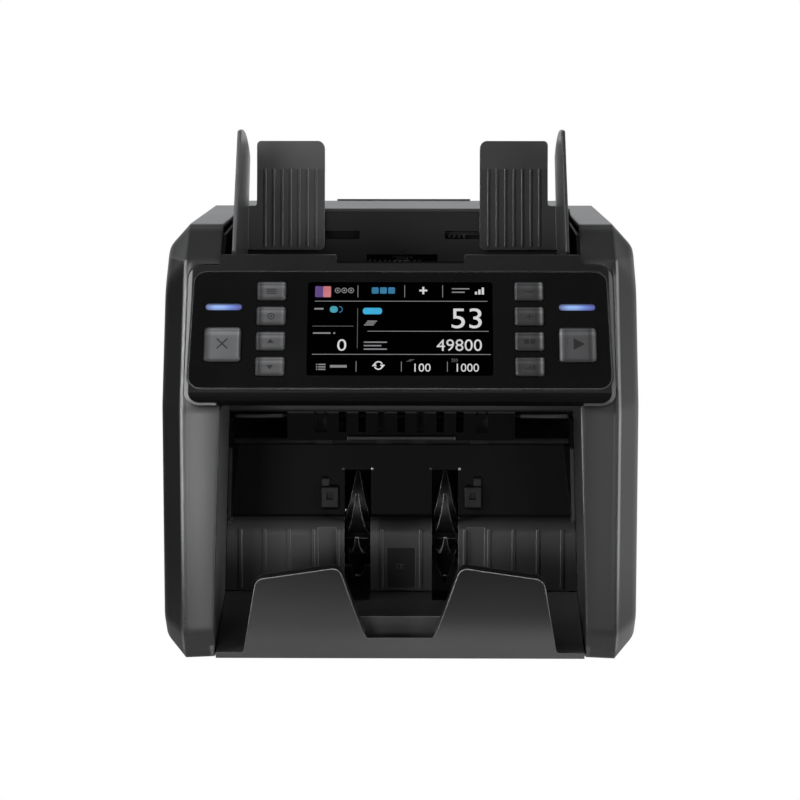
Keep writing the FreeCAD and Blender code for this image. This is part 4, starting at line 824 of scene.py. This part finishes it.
on_glass("screen_dividers", [level_line(0.038, 0.973, 0.796), level_line(0.027, 0.989, 0.226),
                             level_line(0.324, 0.978, 0.473)], grey)
on_glass("screen_side_dividers", [level_line(0.027, 0.249, 0.527),
                                  upright_line(0.270, 0.29, 0.72)], dim)
on_glass("screen_ticks", [upright_line(across, *ends)
                          for row, ends in (((0.270, 0.524, 0.730), (0.839, 0.968)),
                                            ((0.265, 0.508, 0.755), (0.043, 0.150)))
                          for across in row], grey)
glass_number("screen_count", "53", 0.778, 0.505, 0.941, 0.720)
glass_number("screen_total", "49800", 0.697, 0.263, 0.941, 0.387)
glass_number("screen_rejects", "0", 0.162, 0.263, 0.211, 0.387)
glass_number("screen_batch", "100", 0.578, 0.043, 0.665, 0.129)
glass_number("screen_rate", "1000", 0.805, 0.043, 0.924, 0.129)

tile_left, tile_low, tile_right, tile_high = screen_box(0.038, 0.839, 0.124, 0.957)
tile_middle = (tile_left + tile_right) / 2
TILE_CORNER = 0.6
on_glass("screen_tile_violet",
         [rounded(tile_left, tile_low, tile_middle, tile_high, TILE_CORNER)], violet)
on_glass("screen_tile_rose",
         [rounded(tile_middle, tile_low, tile_right, tile_high, TILE_CORNER)], rose)


# Signs about their own origin: a size in millimetres, three members each

def notes(size):
    # Stacked notes, each shown by its front edge.
    shift, rise, wide, thick, corner = 0.9, size * 0.34, size * 1.7, size * 0.2, 0.3
    return [rounded(k * shift, k * rise, wide + k * shift, k * rise + thick, corner)
            for k in range(3)]


def coins(size):
    pitch, width, core = size * 1.15, size * 0.12, size * 0.16
    return [loop for k in range(3)
            for loop in (*ring(k * pitch, 0, size / 2, width), dot(k * pitch, 0, core))]


def blocks(size):
    pitch, corner = size * 1.2, size * 0.18
    return [rounded(k * pitch, -size / 2, k * pitch + size, size / 2, corner) for k in range(3)]


def steps(size):
    pitch, wide = size * 0.45, size * 0.3
    return [rectangle(k * pitch, 0, k * pitch + wide, size * (0.4 + 0.3 * k)) for k in range(3)]


def list_rows(size):
    pitch, thick, start, end = size * 0.36, size * 0.18, size * 0.3, size * 1.3
    return [rectangle(left, k * pitch, right, k * pitch + thick)
            for k in range(3) for left, right in ((0, thick), (start, end))]


def cycle(size):
    # Two arcs, each with an arrow head.
    width, side, head = size * 0.14, size * 0.43, size * 0.28
    barb = head * 0.3
    arcs = [arc_band(0, 0, size / 2, width, start, end) for start, end in ((20, 160), (200, 340))]
    return arcs + [[(sign * (side - head), sign * barb), (sign * (side + head), sign * barb),
                    (sign * side, -sign * head)] for sign in (1, -1)]


def chevrons(size):
    pitch, wide, notch, reach = size * 0.6, size * 0.25, size * 0.4, size * 0.65
    outline = ((0, 0), (wide, 0), (reach, size / 2), (wide, size), (0, size), (notch, size / 2))
    return [[(k * pitch + x, y) for x, y in outline] for k in range(3)]


glass_sign("screen_sign_coins", coins(3.4), 0.160, 0.912, grey)
glass_sign("screen_sign_mode", blocks(4.0), 0.345, 0.912, blue)
glass_sign("screen_sign_add", plus(2.3, 0.575), 0.625, 0.912, white)
glass_sign("screen_sign_level", steps(4.4), 0.905, 0.870, white)
on_glass("screen_sign_level_lines", [bar(0.78, 0.925, 0.875, 0.937),
                                     bar(0.78, 0.888, 0.85, 0.900)], grey)
glass_sign("screen_sign_pieces", notes(3.4), 0.305, 0.535, grey)
on_glass("screen_sign_sum", [bar(0.305, 0.275, 0.43, 0.288), bar(0.305, 0.312, 0.40, 0.325),
                             bar(0.305, 0.349, 0.43, 0.362)], grey)
glass_sign("screen_sign_menu", list_rows(4.2), 0.05, 0.06, grey)
on_glass("screen_sign_menu_bar", [bar(0.125, 0.085, 0.215, 0.112)], grey)
glass_sign("screen_sign_auto", cycle(5.4), 0.385, 0.108, white)
glass_sign("screen_sign_batch", notes(1.6), 0.535, 0.150, dim)
glass_sign("screen_sign_rate", chevrons(2.2), 0.775, 0.145, dim)
on_glass("screen_sign_reject", [bar(0.03, 0.445, 0.125, 0.460),
                                bar(0.14, 0.445, 0.15, 0.460)], grey)
on_glass("screen_sign_state", [bar(0.035, 0.705, 0.085, 0.722)], grey)

switch_left, switch_low, switch_right, switch_high = screen_box(0.119, 0.672, 0.189, 0.742)
switch_tall = switch_high - switch_low
SWITCH_SHARE = 0.62
SWITCH_CORNER = 0.45
SWITCH_LINE = 0.5
PILL_CORNER = 0.4
on_glass("screen_switch_on", [rounded(
    switch_left, switch_low, switch_left + (switch_right - switch_left) * SWITCH_SHARE,
    switch_high, switch_tall * SWITCH_CORNER)], teal)
on_glass("screen_switch_off", [arc_band(
    switch_right - switch_tall / 2, (switch_low + switch_high) / 2, switch_tall / 2,
    SWITCH_LINE, -90, 90)], blue)
pill_box = screen_box(0.298, 0.655, 0.402, 0.724)
pill_tall = pill_box[3] - pill_box[1]
on_glass("screen_pill", [rounded(*pill_box, pill_tall * PILL_CORNER)], cyan)


# Signs on the key caps, about the sign's own origin, from the top row down

ink = moulded("key_ink", (0.006, 0.006, 0.0065), 0.5, edge=0.05 * MM)
INK = (KEY_FRONT + 0.01, KEY_FRONT + 0.06)
SIGN_DROP = 0.8


def key_sign(key, loops, u, v):
    flat_piece(key + "_sign", moved(loops, u, v), INK, ink, key)


def arrow(size, sign):
    half, reach = size * 0.6, size / 2 * sign
    foot = -reach * 0.6
    return [(-half, foot), (half, foot), (0, reach)]


LEFT_SIGNS = (
    [rectangle(-3, low, 3, high) for low, high in ((-1.6, -1), (-0.3, 0.3), (1, 1.6))],
    [*ring(0, 0, 2.1, 0.6), dot(0, 0, 0.6)],
    [arrow(3.4, 1)],
    [arrow(3.4, -1)],
)
RIGHT_SIGNS = (
    [rectangle(-2.4, -0.35, 2.4, 0.35)],
    plus(2.2, 0.35),
    [rounded(-3.2, -1.6, -0.3, 1.6, 0.5), rounded(0.3, -1.6, 3.2, 1.6, 0.5)],
    [rounded(k * 2.2 - 3.0, -1.6, k * 2.2 - 1.4, k * 0.9 - 0.6, 0.2) for k in range(3)],
)
CROSS_SIGN = (((-3.4, -2.8), (-2.8, -3.4), (3.4, 2.8), (2.8, 3.4)),
              ((-2.8, 3.4), (-3.4, 2.8), (-0.6, 0.0), (0.0, 0.6)),
              ((0.0, -0.6), (2.8, -3.4), (3.4, -2.8), (0.6, 0.0)))
START_SIGN = (((-2.6, -3.6), (4.0, 0.0), (-2.6, 3.6)),)

for index, v in enumerate(KEY_ROWS):
    key_sign("left_key_%d" % (index + 1), LEFT_SIGNS[index], -SMALL_KEY_U, v - SIGN_DROP)
    key_sign("right_key_%d" % (index + 1), RIGHT_SIGNS[index], SMALL_KEY_U, v - SIGN_DROP)
key_sign("left_large_key", CROSS_SIGN, -LARGE_KEY_U, LARGE_KEY_V)
key_sign("right_large_key", START_SIGN, LARGE_KEY_U, LARGE_KEY_V)


# Screws on the rear panel, and small steel pins at the upper corners of the wheel slots that make
# glints there: two in a bright steel as painted highlights, two in a dull copy as painted shade

screw_steel = metal("screw_steel", (0.30, 0.30, 0.31), 0.3, EVEN)
glint_pin_steel = metal("glint_pin_steel", (0.45, 0.45, 0.46), 0.30, EVEN)
shaded_pin_steel = metal("shaded_pin_steel", (0.10, 0.10, 0.102), 0.40, EVEN)

# Rings of a pan head from its foot to its top (radius, height), then its crossed slot, all as
# shares of the head's radius. Each arm of the slot takes three of a quarter's corners.
HEAD_RINGS = ((1.0, 0.0), (1.0, 0.35), (0.8, 0.55), (0.45, 0.62))
QUARTER_CORNERS = 6
HEAD_CORNERS = 4 * QUARTER_CORNERS
ARM_CORNERS = (0, 1, 5)
ARM_REACH = 0.42
SLOT_INNER = 0.14
SLOT_TOP = 0.6
SLOT_BOTTOM = 0.2
SLOT_TAPER = 0.9


def screw(name, place, turn, radius, material):
    # Pan head with a crossed slot, standing out along the turned Z axis.
    bm = bmesh.new()

    def corner(k, share, height):
        u, v = on_circle(0, 0, radius * share, 2 * math.pi * k / HEAD_CORNERS)
        return bm.verts.new((u, v, radius * height))

    rings = [[corner(k, share, height) for k in range(HEAD_CORNERS)]
             for share, height in HEAD_RINGS]
    slot = [corner(k, ARM_REACH if k % QUARTER_CORNERS in ARM_CORNERS else SLOT_INNER, SLOT_TOP)
            for k in range(HEAD_CORNERS)]
    pit = [bm.verts.new((top.co.x * SLOT_TAPER, top.co.y * SLOT_TAPER, radius * SLOT_BOTTOM))
           for top in slot]
    rings += [slot, pit]
    for lower, upper in zip(rings, rings[1:]):
        walls(bm, lower, upper)
    bm.faces.new(pit)
    bm.faces.new(rings[0][::-1])
    attach_faces(name, bm, Matrix.Translation(times(place, MM)) @ turn, material, "casing")


TO_REAR = Matrix.Rotation(-QUARTER, 4, "X")
TO_FRONT = Matrix.Rotation(QUARTER, 4, "X")
REAR_FACE = 127.0
REAR_SCREWS = ((-98, 20), (98, 20), (-98, 66), (98, 66), (0, 20), (0, 66))
REAR_SCREW_RADIUS = 2.6 * MM
PIN_DEPTH = -28.2
PIN_HEIGHT = 101.0
PIN_RADIUS = 0.9 * MM
SLOT_PINS = ((-36.2, shaded_pin_steel), (-18.2, glint_pin_steel), (18.2, shaded_pin_steel), (36.2, glint_pin_steel))
for index, (x, z) in enumerate(REAR_SCREWS):
    screw("rear_screw_%d" % (index + 1), (x, REAR_FACE, z), TO_REAR, REAR_SCREW_RADIUS,
          screw_steel)
for index, (x, steel) in enumerate(SLOT_PINS):
    screw("slot_pin_%d" % (index + 1), (x, PIN_DEPTH, PIN_HEIGHT), TO_FRONT, PIN_RADIUS, steel)


# Dust seal along the foot of the rear panel: its profile (depth, height) and half its length

SEAL = ((118.0, 5.9), (124.2, 5.9), (124.2, 11.5), (123.0, 12.5), (121.6, 11.5), (121.0, 8.2),
        (118.0, 7.4))
SEAL_HALF = 96.0


def strip(name, profile, half, material, body):
    # A profile drawn out to both sides of the middle.
    bm = bmesh.new()
    left, right = ([bm.verts.new(times((x, y, z), MM)) for y, z in profile] for x in (-half, half))
    walls(bm, left, right)
    bm.faces.new(left[::-1])
    bm.faces.new(right)
    bmesh.ops.recalc_face_normals(bm, faces=bm.faces)
    attach_faces(name, bm, Matrix.Identity(4), material, body)


strip("rear_dust_seal", SEAL, SEAL_HALF, finishes["foot_rubber"], "casing")


# Camera, solved from the photograph

CAMERA_PLACE = (0.01401, -1.45331, 0.37019)
CAMERA_PITCH = math.radians(9.0)
CAMERA_YAW = math.radians(0.6)
CAMERA_ANGLE = math.radians(19.50)
CAMERA_END = 20.0

lens = bpy.data.cameras.new("camera")
lens.angle = CAMERA_ANGLE
lens.clip_end = CAMERA_END
camera = bpy.data.objects.new("camera", lens)
camera.location = CAMERA_PLACE
camera.rotation_euler = (QUARTER - CAMERA_PITCH, 0, CAMERA_YAW)
scene.collection.objects.link(camera)
scene.camera = camera


# Studio: white to the camera. To all else the room is dim, with a bright backdrop and a soft
# light overhead, and mirrored in the pieces the floor is dark beside the machine on the left.

WHITE = (1, 1, 1)
ROOM_COLOUR = (0.97, 0.98, 1.0)
ROOM_DIM = 0.10
BACKDROP = 1.0
BACKDROP_AHEAD = (0.55, 0.90)
BACKDROP_UP = (0.75, 0.40)
OVERHEAD = 0.30
OVERHEAD_UP = (0.80, 0.98)
FLOOR_HALF = 4.0
FLOOR_COLOUR = (0.8, 0.8, 0.8)
FLOOR_ROUGHNESS = 0.9
FLOOR_LEFT = 0.08
FLOOR_FAR = 0.65
AHEAD_LEFT = 0.95
AHEAD_RIGHT = 0.65
LEFT_TO_RIGHT = (-0.45, 0.15)
FAR_TO_NEAR = (-0.36, -0.17)
AHEAD_TO_BESIDE = (-0.20, -0.10)
MIDDLE = (0.0, 0.0, 0.15)
UPPER_MIDDLE = (0.0, 0.0, 0.20)
# Name, place, target, size and power
LIGHTS = (
    ("left_key", (-0.6, -1.7, 0.18), MIDDLE, (0.4, 0.3), 6.0),
    ("right_fill", (0.75, -1.8, 0.22), MIDDLE, (0.5, 0.35), 3.0),
    ("left_strip_light", (-1.2, -0.85, 0.58), UPPER_MIDDLE, (0.15, 1.15), 18.0),
    ("right_strip_light", (1.2, -0.85, 0.58), UPPER_MIDDLE, (0.12, 1.15), 9.0),
    ("left_softbox", (-0.9, -0.7, 1.6), MIDDLE, (0.5, 0.5), 6.0),
    ("right_softbox", (1.5, 0.55, 0.35), MIDDLE, (1.0, 0.7), 1.4),
)


def by_ray(tree, ray, others, seen):
    # One shader for a kind of ray, another for all other rays.
    path = add(tree, "ShaderNodeLightPath", {})
    mix = add(tree, "ShaderNodeMixShader", {"Fac": path.outputs[ray], 1: others, 2: seen})
    return mix.outputs["Shader"]


def build_world():
    world = bpy.data.worlds.new("studio")
    scene.world = world
    world.use_nodes = True
    tree = world.node_tree
    _, ahead, up = axes(tree, coordinates(tree, "Generated"))
    backdrop = product(tree, ramp_between(tree, ahead, *BACKDROP_AHEAD),
                       ramp_between(tree, up, *BACKDROP_UP))
    above = ramp_between(tree, up, *OVERHEAD_UP)
    strength = calculated(tree, "ADD", spread(tree, backdrop, ROOM_DIM, BACKDROP),
                          spread(tree, above, 0, OVERHEAD))
    room = wire(tree, tree.nodes["Background"], {"Color": ROOM_COLOUR, "Strength": strength})
    back = add(tree, "ShaderNodeBackground", {"Color": WHITE, "Strength": 1.0})
    surface = by_ray(tree, "Is Camera Ray", room.outputs["Background"], back.outputs["Background"])
    wire(tree, tree.nodes["World Output"], {"Surface": surface})


def build_floor():
    mesh = bpy.data.meshes.new("floor")
    corners = rectangle(-FLOOR_HALF, -FLOOR_HALF, FLOOR_HALF, FLOOR_HALF)
    mesh.from_pydata([(x, y, 0) for x, y in corners], [], [(0, 1, 2, 3)])
    floor = bpy.data.objects.new("floor", mesh)
    scene.collection.objects.link(floor)
    material, tree, surface = new_material("pale_floor")
    wire(tree, surface, {"Base Color": FLOOR_COLOUR, "Roughness": FLOOR_ROUGHNESS})
    across, depth, _ = axes(tree, coordinates(tree))
    right = ramp_between(tree, across, *LEFT_TO_RIGHT)
    near = ramp_between(tree, depth, *FAR_TO_NEAR)
    ahead = product(tree, spread(tree, right, AHEAD_LEFT, AHEAD_RIGHT),
                    spread(tree, near, FLOOR_FAR, 1.0))
    strength = mix_values(tree, ramp_between(tree, depth, *AHEAD_TO_BESIDE), ahead,
                          spread(tree, right, FLOOR_LEFT, 1.0))
    mirrored = add(tree, "ShaderNodeEmission", {"Strength": strength})
    lit = add(tree, "ShaderNodeEmission", {"Color": WHITE, "Strength": 1.0})
    seen = by_ray(tree, "Is Glossy Ray", surface.outputs["BSDF"], mirrored.outputs["Emission"])
    seen = by_ray(tree, "Is Camera Ray", seen, lit.outputs["Emission"])
    wire(tree, tree.nodes["Material Output"], {"Surface": seen})
    mesh.materials.append(material)


def area_light(name, place, target, size, power):
    data = bpy.data.lights.new(name, "AREA")
    data.shape = "RECTANGLE"
    data.size, data.size_y = size
    data.energy = power
    light = bpy.data.objects.new(name, data)
    light.location = place
    direction = Vector(target) - Vector(place)
    light.rotation_euler = direction.to_track_quat("-Z", "Y").to_euler()
    scene.collection.objects.link(light)


build_world()
build_floor()
for light_values in LIGHTS:
    area_light(*light_values)

scene.view_settings.view_transform = "Standard"
